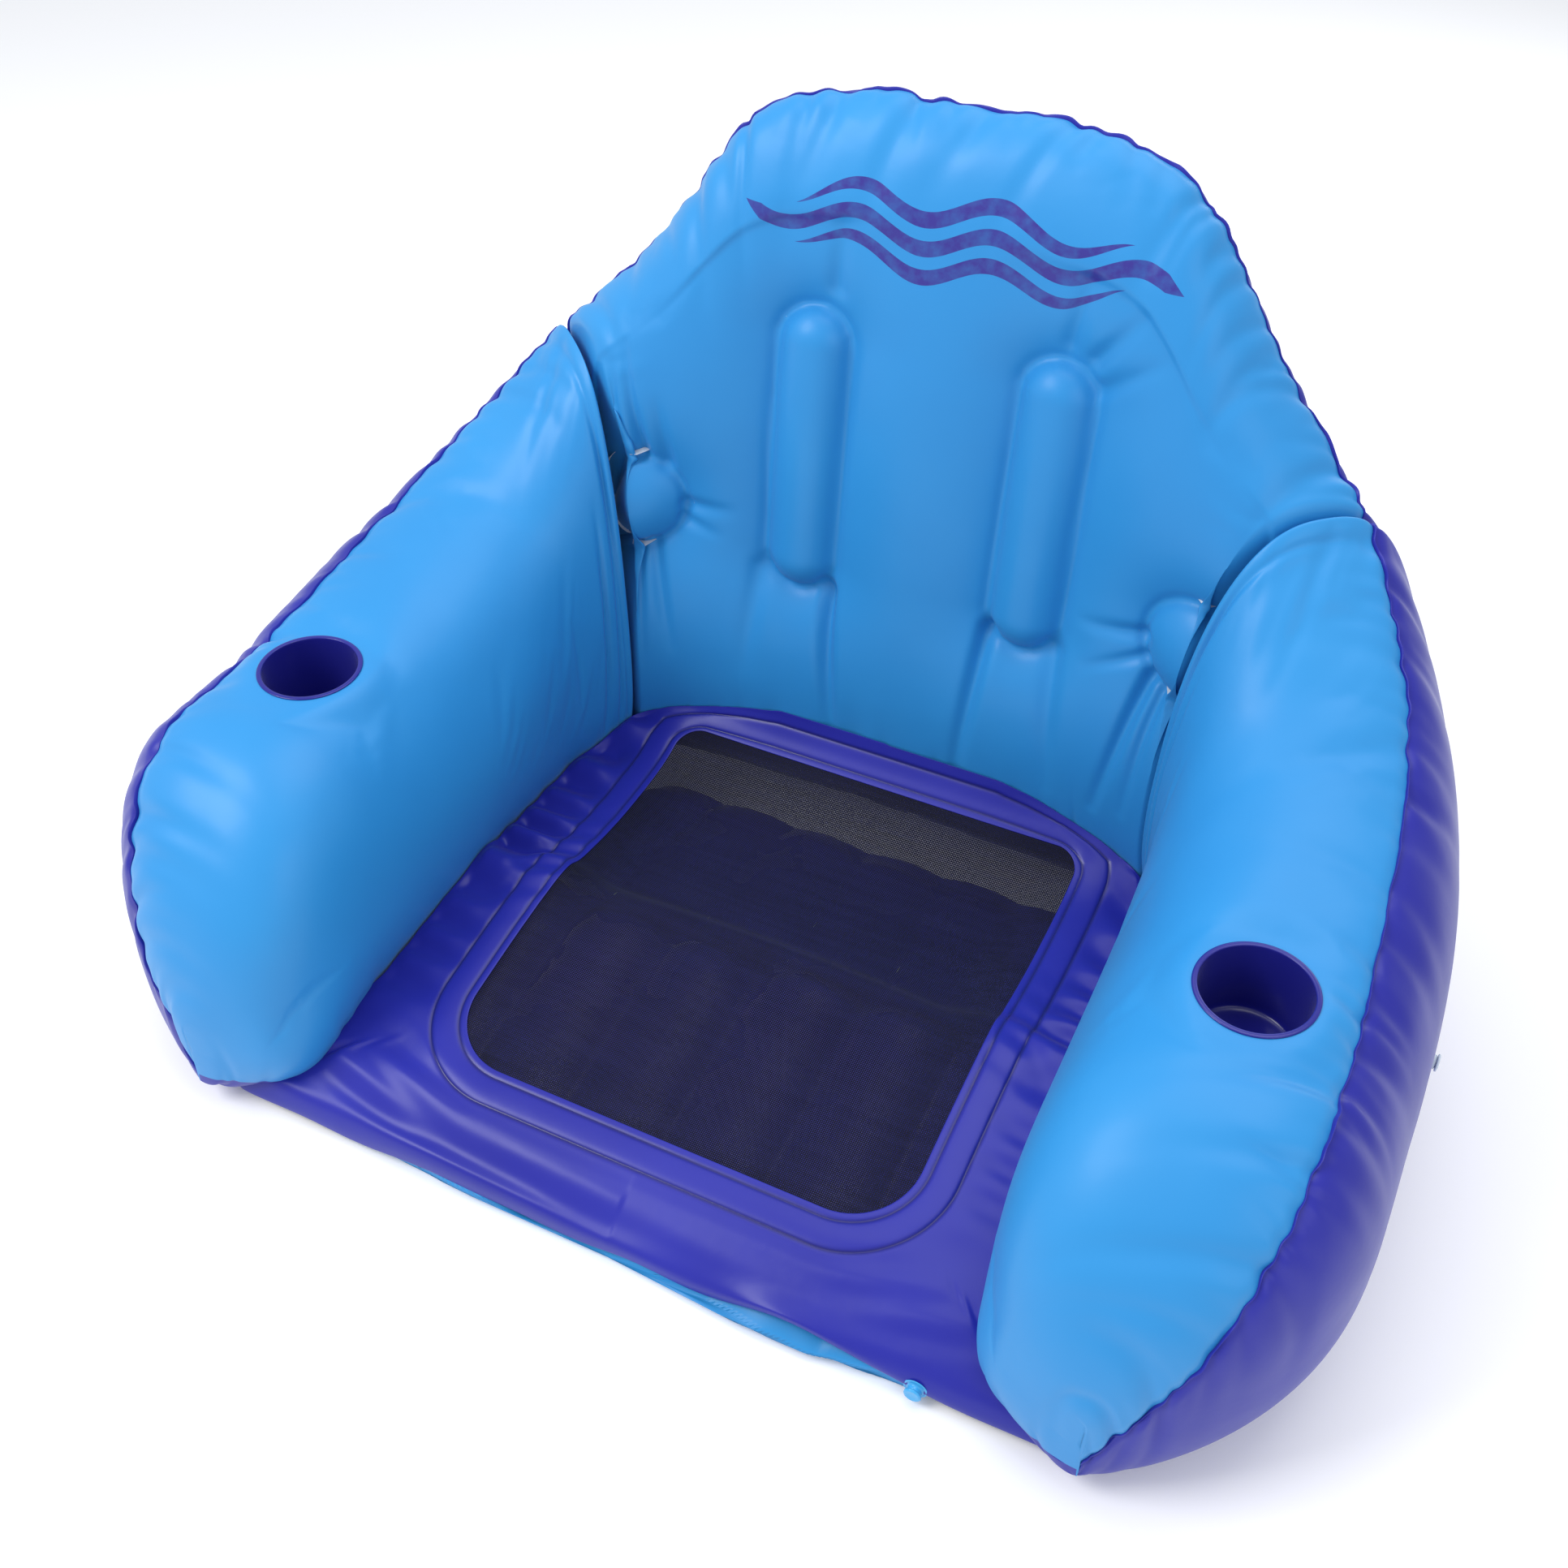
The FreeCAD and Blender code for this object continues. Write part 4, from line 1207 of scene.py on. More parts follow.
@dataclass
class SeatSheet:
    """Shape of the seat's sheet: its course from the front hem over the ridge and up to the backrest."""

    course: tuple = ((0.021, 0.010), (0.0225, 0.022), (0.0335, 0.0345), (0.071, 0.0555), (0.152, 0.0745),
                     (0.248, 0.0920), (0.318, 0.0985), (0.350, 0.0880), (0.420, 0.0800), (0.500, 0.0830),
                     (0.546, 0.0960), (0.566, 0.1090), (0.575, 0.1220), (0.5795, 0.1360))
    window_half: float = 0.218
    window_front: float = 0.106
    window_rear: float = 0.556
    window_corner: float = 0.062
    rear_corner: float = 0.026
    side_drop: float = 0.006
    inner_weld: float = 0.0065
    outer_weld: float = 0.0315
    toe_runs: tuple = (0.0, 0.012, 0.022, 0.035)
    toe_halves: tuple = (0.396, 0.392, 0.384, 0.372)
    tuck: float = 0.012

    def __post_init__(self) -> None:
        """Measure the course and the walls round it."""
        knots = np.array(self.course)
        fine = np.linspace(0.0, len(knots) - 1.0, 40 * len(knots))
        self.line = np.array([smooth_row(knots, place) for place in fine])
        steps = np.linalg.norm(np.diff(self.line, axis=0), axis=1)
        self.run = np.concatenate([[0.0], np.cumsum(steps)])
        self.length = float(self.run[-1])
        self.front = self.run_at(self.window_front)
        self.rear = self.run_at(self.window_rear)
        arm = Arm("gauge", 0, 1, 1, 1)
        self.wall = np.array([self.wall_spot(arm, run) for run in np.linspace(0.0, self.length, 90)])

    def run_at(self, depth: float) -> float:
        """Distance along the course at a depth from the chair's tip."""
        return float(np.interp(depth, self.line[:, 0], self.run))

    def spot(self, run: np.ndarray) -> tuple[np.ndarray, np.ndarray]:
        """Depth and height at a distance along the course."""
        return np.interp(run, self.run, self.line[:, 0]), np.interp(run, self.run, self.line[:, 1])

    def edge_height(self, run: float) -> float:
        """Height of the sheet's side edge."""
        depth, height = self.spot(np.array(run))
        share = smoothstep(depth, 0.05, 0.20) * (1.0 - smoothstep(depth, 0.53, 0.575))
        return float(height) - self.side_drop * float(share)

    def wall_spot(self, arm: "Arm", run: float) -> tuple[float, float]:
        """Half width of the seat between the walls at a distance along the course."""
        depth = float(self.spot(np.array(run))[0])
        level = self.edge_height(run)
        rows = [arm.nose(turn).row() for turn in np.linspace(0.05, math.pi / 2.0, 30)]
        rows += [smooth_row(arm.body_rows(), place) for place in np.linspace(0.0, 4.0, 60)]
        rows += [Backrest("gauge", 0, 1, 1, 1).cut_row(place)[0] for place in np.linspace(0.0, 0.5, 40)]
        walls = []
        for row in rows:
            middle = row[4] / 2.0
            sine = -min(1.0, abs((middle - (level - row[8])) / middle)) ** (SECTION_POWER / 2.0)
            if level > row[8]:
                walls.append(section(row, np.array([math.pi - math.asin(sine)]), -0.0012)[0])
        spots = np.array(walls)
        half = float(np.interp(run, self.toe_runs, self.toe_halves))
        near = np.abs(spots[:, 1] - (TIP + depth)) < 0.012
        if near.any():
            order = np.argsort(spots[near][:, 1])
            wall = float(np.interp(TIP + depth, spots[near][order, 1], spots[near][order, 0]))
            if run > self.toe_runs[-1]:
                half = wall + self.tuck * (1.0 - float(smoothstep(run, 0.10, 0.16)))
        return run, half

    def half_width(self, run: np.ndarray) -> np.ndarray:
        """Half width of the seat at distances along the course."""
        return np.interp(run, self.wall[:, 0], self.wall[:, 1])

    def window_gap(self, x: np.ndarray, run: np.ndarray) -> np.ndarray:
        """Signed distance outside the net's window."""
        middle = (self.front + self.rear) / 2.0
        corner = np.where(run > middle, self.rear_corner, self.window_corner)
        across = np.abs(x) - (self.window_half - corner)
        along = np.abs(run - middle) - ((self.rear - self.front) / 2.0 - corner)
        outside = np.hypot(np.maximum(across, 0.0), np.maximum(along, 0.0))
        return outside + np.minimum(np.maximum(across, along), 0.0) - corner

    def place(self, x: np.ndarray, run: np.ndarray, lower: float = 0.0) -> np.ndarray:
        """Points of the sheet.

        Args:
            x: places across the seat.
            run: distances along the course.
            lower: how far below the sheet the points lie.

        Returns:
            One point per place.
        """
        depth, height = self.spot(run)
        half = self.half_width(run)
        edge = np.array([self.edge_height(value) for value in np.ravel(run)]).reshape(np.shape(run))
        share = smoothstep(np.abs(x), 0.215, np.maximum(half, 0.24))
        level = blend(height, edge, share) if np.isscalar(share) else height + (edge - height) * share
        level = level + self.ripples(x, run, half)
        return np.stack([x, TIP + depth, level - lower], axis=-1)

    def ripples(self, x: np.ndarray, run: np.ndarray, half: np.ndarray) -> np.ndarray:
        """Height of the folds between the net's window and the arms."""
        gap = self.window_gap(x, run)
        out = np.clip((np.abs(x) - 0.235) / np.maximum(half - 0.235, 0.02), 0.0, 1.0)
        ridge = np.exp(-(((run - self.run_at(0.335)) / 0.060) ** 2))
        rear = np.exp(-(((run - self.run_at(0.500)) / 0.070) ** 2))
        side = np.where(x < 0.0, 1.0, 0.55)
        wave = np.sin(run * 2.0 * math.pi / 0.046 + 1.6 * np.sin(run * 31.0) + x * 9.0)
        height = 0.0070 * side * wave * (0.35 + ridge + 0.8 * rear) * smoothstep(gap, 0.026, 0.060)
        height *= 1.0 - 0.75 * smoothstep(out, 0.85, 1.0)
        pull = 0.0022 * np.sin(run * 2.0 * math.pi / 0.034 + 3.0 * np.abs(x) / 0.05)
        height += pull * ridge * side * smoothstep(gap, -0.002, 0.012) * (1.0 - smoothstep(gap, 0.040, 0.060))
        front = np.exp(-(((run - self.run_at(0.064)) / 0.032) ** 2))
        slant = (run - 0.30 * (np.abs(x) - 0.2)) * 2.0 * math.pi / 0.030
        height += 0.0022 * front * np.sin(slant) * smoothstep(np.abs(x), 0.14, 0.27) * side
        slow = np.sin(run * 2.0 * math.pi / 0.055 + 5.0 * x)
        height += 0.0012 * front * slow * smoothstep(gap, 0.035, 0.050)
        return height


@dataclass
class NetSeat:
    """The net in its dark border, the weld ring below and the channelled cushion."""

    sheet: SeatSheet = field(default_factory=SeatSheet)
    film: float = 0.0008
    net_drop: float = 0.014

    def loop(self) -> tuple[np.ndarray, np.ndarray]:
        """Points and outward directions round the net's window, in the sheet's flat plane."""
        sheet = self.sheet
        near, far = sheet.window_corner, sheet.rear_corner
        corners = ((sheet.window_half - near, sheet.front + near, near, -90.0),
                   (sheet.window_half - far, sheet.rear - far, far, 0.0),
                   (far - sheet.window_half, sheet.rear - far, far, 90.0),
                   (near - sheet.window_half, sheet.front + near, near, 180.0))
        spots = []
        ways = []
        for index, (x, run, radius, start) in enumerate(corners):
            for turn in np.radians(np.linspace(start, start + 90.0, 40)):
                ways.append(np.array([math.cos(turn), math.sin(turn)]))
                spots.append(np.array([x, run]) + radius * ways[-1])
            following = corners[(index + 1) % 4]
            last, way = spots[-1], ways[-1]
            target = np.array(following[:2]) + following[2] * way
            for share in np.linspace(0.0, 1.0, 120)[1:-1]:
                spots.append(last * (1.0 - share) + target * share)
                ways.append(way)
        return np.array(spots), np.array(ways)

    def reach(self, spots: np.ndarray, ways: np.ndarray) -> np.ndarray:
        """Distance from the window to the sheet's outer edge along each direction."""
        tries = np.linspace(0.0, 0.24, 481)
        x = spots[:, :1] + ways[:, :1] * tries
        run = spots[:, 1:] + ways[:, 1:] * tries
        inside = (run > 0.0) & (run < self.sheet.length) & (np.abs(x) < self.sheet.half_width(run))
        return tries[np.argmin(inside, axis=1)] - tries[1] * 0.5

    def border(self) -> bpy.types.Object:
        """The dark sheet round the net, with two weld lines and a hem that rises where it is slack."""
        spots, ways = self.loop()
        reach = self.reach(spots, ways)
        near = np.array([-0.001, 0.0015, 0.0035, 0.0050, 0.0065, 0.0080, 0.0095, 0.012, 0.016, 0.020, 0.024,
                         0.027,
                         0.0295, 0.0305, 0.0315, 0.0325, 0.0345, 0.037, 0.041])
        far = np.linspace(0.0, 1.0, 23)[1:]
        rows = []
        for spot, way, length in zip(spots, ways, reach):
            scale = min(1.0, length / 0.045)
            close = near * scale
            distance = np.concatenate([close, close[-1] + (length - close[-1]) * far])
            rows.append(np.stack([spot[0] + way[0] * distance, spot[1] + way[1] * distance,
                                  distance / scale], axis=1))
        plan = np.array(rows + rows[:1])
        x, run, gap = plan[..., 0], plan[..., 1], plan[..., 2]
        points = self.sheet.place(x, run)
        lines = np.exp(-(((gap - self.sheet.inner_weld) / 0.0016) ** 2))
        lines += np.exp(-(((gap - self.sheet.outer_weld) / 0.0016) ** 2))
        relief = -0.0009 * lines
        band_width = self.sheet.outer_weld - self.sheet.inner_weld
        band = np.clip((gap - self.sheet.inner_weld) / band_width, 0.0, 1.0)
        relief += 0.0008 * np.sin(math.pi * band)
        normals = grid_normals(points, False)
        normals *= np.sign(normals[..., 2:] + 1e-6)
        points = points + normals * relief[..., None]
        points[..., 2] += self.hem_lift(x) * (1.0 - smoothstep(run, 0.0, 0.040))
        points[-1] = points[0]
        shape = warped_grid(points)
        marks = shape.verts.layers.float.new(WELD_LINE)
        along, across = (shape.verts.layers.int[key] for key in ("along", "across"))
        for vert in shape.verts:
            vert[marks] = lines[vert[along], vert[across]]
        bmesh.ops.remove_doubles(shape, verts=shape.verts, dist=1e-7)
        bmesh.ops.recalc_face_normals(shape, faces=shape.faces)
        piece = finish_mesh(shape, "seat_border_sheet")
        self.flip_up(piece)
        self.thicken(piece)
        return piece

    def hem_lift(self, x: np.ndarray) -> np.ndarray:
        """How far the front hem stands above its usual height."""
        lift = 0.017 * np.exp(-(((x - 0.175) / 0.062) ** 2))
        lift += 0.006 * np.exp(-(((x + 0.160) / 0.055) ** 2)) + 0.003 * np.exp(-(((x - 0.02) / 0.04) ** 2))
        return lift + 0.0012 * np.sin(x * 55.0)

    def flip_up(self, piece: bpy.types.Object) -> None:
        """Turn an open sheet so that its faces look up."""
        shape = bmesh.new()
        shape.from_mesh(piece.data)
        if sum(face.normal.z * face.calc_area() for face in shape.faces) < 0.0:
            bmesh.ops.reverse_faces(shape, faces=shape.faces)
        shape.to_mesh(piece.data)
        shape.free()

    def thicken(self, piece: bpy.types.Object) -> None:
        """Give a sheet its film's thickness below its top face."""
        solid = piece.modifiers.new("film", "SOLIDIFY")
        solid.thickness = self.film
        solid.offset = -1.0
        subdivide(piece)

    def net(self) -> bpy.types.Object:
        """The net, which sags behind the ridge and shows the channels that it lies on."""
        sheet = self.sheet
        across = np.linspace(-sheet.window_half - 0.006, sheet.window_half + 0.006, 111)
        along = np.linspace(sheet.front - 0.006, sheet.rear + 0.006, 121)
        x, run = np.meshgrid(across, along, indexing="ij")
        points = sheet.place(x, run, 0.0013)
        inside = smoothstep(-sheet.window_gap(x, run), 0.0, 0.060)
        depth = points[..., 1] - TIP
        bow = 0.020 * (x / sheet.window_half) ** 2
        behind = smoothstep(depth + bow, 0.318, 0.352) * (1.0 - smoothstep(depth, 0.470, 0.560))
        channel = np.abs(np.sin(math.pi * 6.0 * (x / 0.29 + 1.0) / 2.0))
        front = (1.0 - smoothstep(depth, 0.290, 0.330)) * smoothstep(depth, 0.10, 0.16)
        points[..., 2] -= inside * (self.net_drop * behind + 0.0040 * (1.0 - channel) * front)
        sag = np.exp(-(((depth - 0.20) / 0.10) ** 2)) * (1.0 - (x / sheet.window_half) ** 2)
        points[..., 2] -= 0.004 * inside * sag
        shape = warped_grid(points)
        corner = [vert for vert, gap in zip(shape.verts, self.corner_gaps(shape)) if gap > 0.012]
        bmesh.ops.delete(shape, geom=corner, context="VERTS")
        piece = finish_mesh(shape, "seat_net_cloth")
        self.flip_up(piece)
        subdivide(piece)
        return piece

    def corner_gaps(self, shape: bmesh.types.BMesh) -> np.ndarray:
        """Distance of each of the net's points outside the window."""
        spots = np.array([vert.co for vert in shape.verts])
        run = np.interp(spots[:, 1] - TIP, self.sheet.line[:, 0], self.sheet.run)
        return self.sheet.window_gap(spots[:, 0], run)

    def weld_ring(self) -> bpy.types.Object:
        """The strip below the border that the net's edge is welded to."""
        spots, ways = self.loop()
        gaps = np.linspace(0.013, 0.023, 5)
        scale = np.minimum(1.0, self.reach(spots, ways) / 0.045)[:, None]
        x = spots[:, :1] + ways[:, :1] * gaps * scale
        run = spots[:, 1:] + ways[:, 1:] * gaps * scale
        points = self.sheet.place(x, run, 0.0030)
        shape = warped_grid(np.concatenate([points, points[:1]]))
        bmesh.ops.remove_doubles(shape, verts=shape.verts, dist=1e-7)
        bmesh.ops.recalc_face_normals(shape, faces=shape.faces)
        piece = finish_mesh(shape, "seat_weld_strip")
        self.flip_up(piece)
        self.thicken(piece)
        return piece

    def build(self) -> None:
        """Build and dress the border, the net and the weld strip."""
        dark = SEAT_FILM.material()
        border = self.border()
        dress(border, dark, Body.CHAIR, "dark_blue_film", "seat_border")
        net = self.net()
        dress(net, Net().material(), Body.CHAIR, "black_net", "seat_net")
        strip = self.weld_ring()
        dress(strip, dark, Body.CHAIR, "dark_blue_film", "seat_weld_ring")


@dataclass
class Cushion(Chamber):
    """The channelled cushion below the net: a wedge bolster in front and a flatter floor behind."""

    half: float = 0.290
    front_y: float = 0.026
    rear_y: float = 0.552
    bolster: float = 0.086
    channels: int = 6
    valley_share: float = 0.72
    front_swell: float = 0.021
    profile: tuple = ((0.0, 0.06, 1.0), (0.02, 0.36, 1.0), (0.10, 0.54, 1.0), (0.28, 0.76, 1.0),
                      (0.44, 0.94, 1.0),
                      (0.53, 1.0, 1.0), (0.59, 0.72, 1.0), (0.66, 0.52, 1.0), (0.80, 0.48, 0.98),
                      (0.93, 0.44, 0.91),
                      (0.985, 0.30, 0.86), (1.0, 0.06, 0.84))

    def base(self) -> np.ndarray:
        """The cushion's points: over the top from left to right and back below."""
        rows = np.array(self.profile)
        share = np.concatenate([[0.0, 0.006, 0.013], np.linspace(0.02, 0.985, self.rows - 5),
                                [0.991, 0.996, 1.0]])
        height = np.interp(share, rows[:, 0], rows[:, 1]) * (self.bolster - 0.0021)
        width = np.interp(share, rows[:, 0], rows[:, 2])
        top = np.linspace(-1.0, 1.0, self.light_steps + 1)
        edge = np.maximum(0.0, 1.0 - np.abs(top) ** 30)
        wave = np.abs(np.sin(math.pi * self.channels * (top + 1.0) / 2.0)) ** 0.8
        rings = []
        for place, level, spread in zip(share, height, width):
            y = TIP + blend(self.front_y, self.rear_y, place)
            upper = [(x * spread * self.half, y, 0.0021 + rise * level * blend(self.valley_share, 1.0, lump))
                     for x, rise, lump in zip(top, edge, wave)]
            lower = [(x * spread * self.half, y, 0.0008) for x in np.linspace(1.0, -1.0,
                                                                              self.dark_steps + 1)[1:-1]]
            rings.append(upper + lower + [upper[0]])
        return np.array(rings)

    def form(self, points: np.ndarray, round_: np.ndarray) -> np.ndarray:
        """The front swells forward below the sheet's hem."""
        x, y, z = points[..., 0], points[..., 1] - TIP, points[..., 2]
        swell = np.exp(-(((x - 0.170) / 0.085) ** 2)) + 0.55 * np.exp(-(((x + 0.150) / 0.070) ** 2))
        swell += 0.25 * np.exp(-(((x - 0.02) / 0.05) ** 2))
        low = smoothstep(-y, -0.034, -0.027)
        round_front = 0.45 + 0.55 * np.sin(np.clip(z / 0.030, 0.0, 1.0) * math.pi)
        points[..., 1] -= low * self.front_swell * swell * round_front
        points[..., 1] -= low * 0.0012 * np.sin(x * 2.0 * math.pi / 0.045) * swell
        return np.zeros(points.shape[:2])

    def relief(self, points: np.ndarray, along: np.ndarray, round_: np.ndarray) -> np.ndarray:
        """Short folds across the cushion's channels."""
        x, y, z = points[..., 0], points[..., 1] - TIP, points[..., 2]
        fold = np.sin(y * 2.0 * math.pi / 0.062 + 2.0 * np.sin(x * 14.0)) * smoothstep(z, 0.015, 0.030)
        return 0.0012 * (fold - 1.0)

    def pins(self, shape: tuple[int, int]) -> np.ndarray:
        """Hold the edge, the underside and the valleys."""
        held = super().pins(shape)
        held[:, self.light_steps:] = 1.0
        for index in range(1, self.channels):
            held[:, round(index * self.light_steps / self.channels)] = 1.0
        return held

    def build(self) -> None:
        """Build and dress the two films."""
        made = self.shell()
        split_row = 0.034
        for polygon in made.data.polygons:
            low_front = polygon.center.y < TIP + split_row and polygon.center.z < 0.036
            dark = low_front or polygon.material_index
            polygon.material_index = Panel.DARK.value if dark else Panel.LIGHT.value
        top = self.split(made, Panel.LIGHT, "seat_cushion_top_film")
        bottom = self.split(made, Panel.DARK, "seat_cushion_bottom_film")
        bpy.data.objects.remove(made)
        dress(top, CUSHION_FILM.material(), Body.CHAIR, "cushion_film", "cushion_top")
        dress(bottom, LIGHT_FILM.material(), Body.CHAIR, "light_blue_film", "cushion_bottom")


# ---------------------------------------------------------------- fittings


@dataclass
class DrinkHolder:
    """A moulded drink holder whose lip lies on the arm's top film."""

    side: float
    bore: float = 0.042
    wall: float = 0.0016
    depth: float = 0.068
    lip: float = 0.003
    top: float = 0.311
    steps: int = 96

    def build(self, name: str, node: str, material: bpy.types.Material) -> None:
        """Build and dress the holder.

        Args:
            name: the piece's name.
            node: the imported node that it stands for.
            material: its material.
        """
        outer = self.bore + self.wall
        floor = self.top - self.depth
        edge = outer + self.lip
        profile = [(0.0, floor - self.wall), (0.030, floor - self.wall), (0.0395, floor - self.wall + 0.0008),
                   (outer - 0.0006, floor + 0.0030), (outer, floor + 0.008), (outer, self.top - 0.0040),
                   (outer + 0.0003, self.top - 0.0020), (edge - 0.0006, self.top - 0.0019),
                   (edge, self.top - 0.0013),
                   (edge, self.top - 0.0007), (edge - 0.0006, self.top - 0.0001), (edge - 0.0018, self.top),
                   (self.bore + 0.0012, self.top), (self.bore + 0.0004, self.top - 0.0003),
                   (self.bore + 0.0001, self.top - 0.0010), (self.bore, self.top - 0.0040),
                   (self.bore, floor + 0.0080),
                   (self.bore - 0.0006, floor + 0.0030), (0.0385, floor + 0.0006), (0.034, floor),
                   (0.0200, floor), (0.0192, floor + 0.0005), (0.0180, floor + 0.0005), (0.0172, floor),
                   (0.0, floor)]
        shape = spun(profile, self.steps)
        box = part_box(node)
        middle = (box[0] + box[1]) / 2.0
        bmesh.ops.translate(shape, verts=shape.verts, vec=(middle.x, middle.y, 0.0))
        piece = finish_mesh(shape, name)
        subdivide(piece)
        dress(piece, material, Body.CHAIR, "moulded_dark_blue", node)


class Facing(Enum):
    """Which way a valve looks, as the turn from straight up."""

    RIGHT = (0.0, math.pi / 2.0, 0.0)
    LEFT = (0.0, -math.pi / 2.0, 0.0)
    REAR = (-math.pi / 2.0, 0.0, 0.0)
    FRONT = (math.pi / 2.0, 0.0, 0.0)


@dataclass
class Valve:
    """An air valve: a flange with its stem, a stopper with a grip and a check flap."""

    name: str
    facing: Facing
    flange: float
    stopper: Body
    slots: tuple[str, str] = ("valve_clear", "valve_clear")
    stem: float = 0.006
    bore: float = 0.0042
    stem_out: float = 0.004
    stem_in: float = 0.012
    head: float = 0.0075
    steps: int = 48

    def centre(self) -> Vector:
        """The point of the valve's axis on the film's outer face."""
        low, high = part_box(self.name + "_valve_body")
        middle = (low + high) / 2.0
        way = Euler(self.facing.value).to_matrix() @ Vector((0.0, 0.0, 1.0))
        return middle + way * (self.stem_in - self.stem_out) / 2.0

    def body_profile(self) -> list[tuple[float, float]]:
        """Outline of the flange and its stem, closed by its own last point."""
        return [(self.bore, -self.stem_in), (self.stem - 0.0004, -self.stem_in),
                (self.stem, -self.stem_in + 0.0006),
                (self.stem, -0.0012), (self.flange - 0.0004, -0.0010), (self.flange, -0.0006),
                (self.flange - 0.0006, -0.0001), (self.flange - 0.0016, 0.0), (self.flange - 0.0024, -0.0003),
                (self.stem + 0.0012, -0.0002), (self.stem + 0.0002, 0.0006), (self.stem, 0.0016),
                (self.stem, self.stem_out - 0.0006), (self.stem - 0.0005, self.stem_out),
                (self.bore + 0.0004, self.stem_out), (self.bore, self.stem_out - 0.0004),
                (self.bore, -self.stem_in)]

    def plug_profile(self) -> list[tuple[float, float]]:
        """Outline of the stopper with its domed head."""
        stem = self.bore - 0.0003
        low = self.stem_out + 0.0003
        return [(0.0, low - 0.009), (stem - 0.0010, low - 0.009), (stem, low - 0.0078), (stem, low - 0.0002),
                (stem + 0.0003, low), (self.head - 0.0005, low), (self.head, low + 0.0006),
                (self.head, low + 0.0015),
                (self.head - 0.0007, low + 0.0023), (self.head - 0.0022, low + 0.0025),
                (0.0028, low + 0.0020),
                (0.0016, low + 0.0021), (0.0, low + 0.0021)]

    def placed(self, profile: list[tuple[float, float]], name: str) -> bpy.types.Object:
        """Spin a profile and stand it on the valve's axis."""
        shape = spun(profile, self.steps)
        turn = Matrix.Translation(self.centre()) @ Euler(self.facing.value).to_matrix().to_4x4()
        bmesh.ops.transform(shape, matrix=turn, verts=shape.verts)
        piece = finish_mesh(shape, name)
        subdivide(piece)
        return piece

    def build(self, body_finish: bpy.types.Material, plug_finish: bpy.types.Material) -> None:
        """Build and dress the body and the stopper, and dress the flap."""
        body = self.placed(self.body_profile(), self.name + "_valve_flange")
        dress(body, body_finish, Body.CHAIR, self.slots[0], self.name + "_valve_body")
        plug = self.placed(self.plug_profile(), self.name + "_valve_stopper")
        dress(plug, plug_finish, self.stopper, self.slots[1], self.name + "_valve_plug")
        dress_node(self.name + "_valve_flap", body_finish)


def dress_node(node: str, material: bpy.types.Material) -> None:
    """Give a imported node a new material.

    Args:
        node: the node's name.
        material: the material.
    """
    made = bpy.data.objects[node]
    if not made.data.materials:
        made.data.materials.append(material)
    for index in range(len(made.data.materials)):
        made.data.materials[index] = material
    LOG.info("%s: packed shape kept", node)


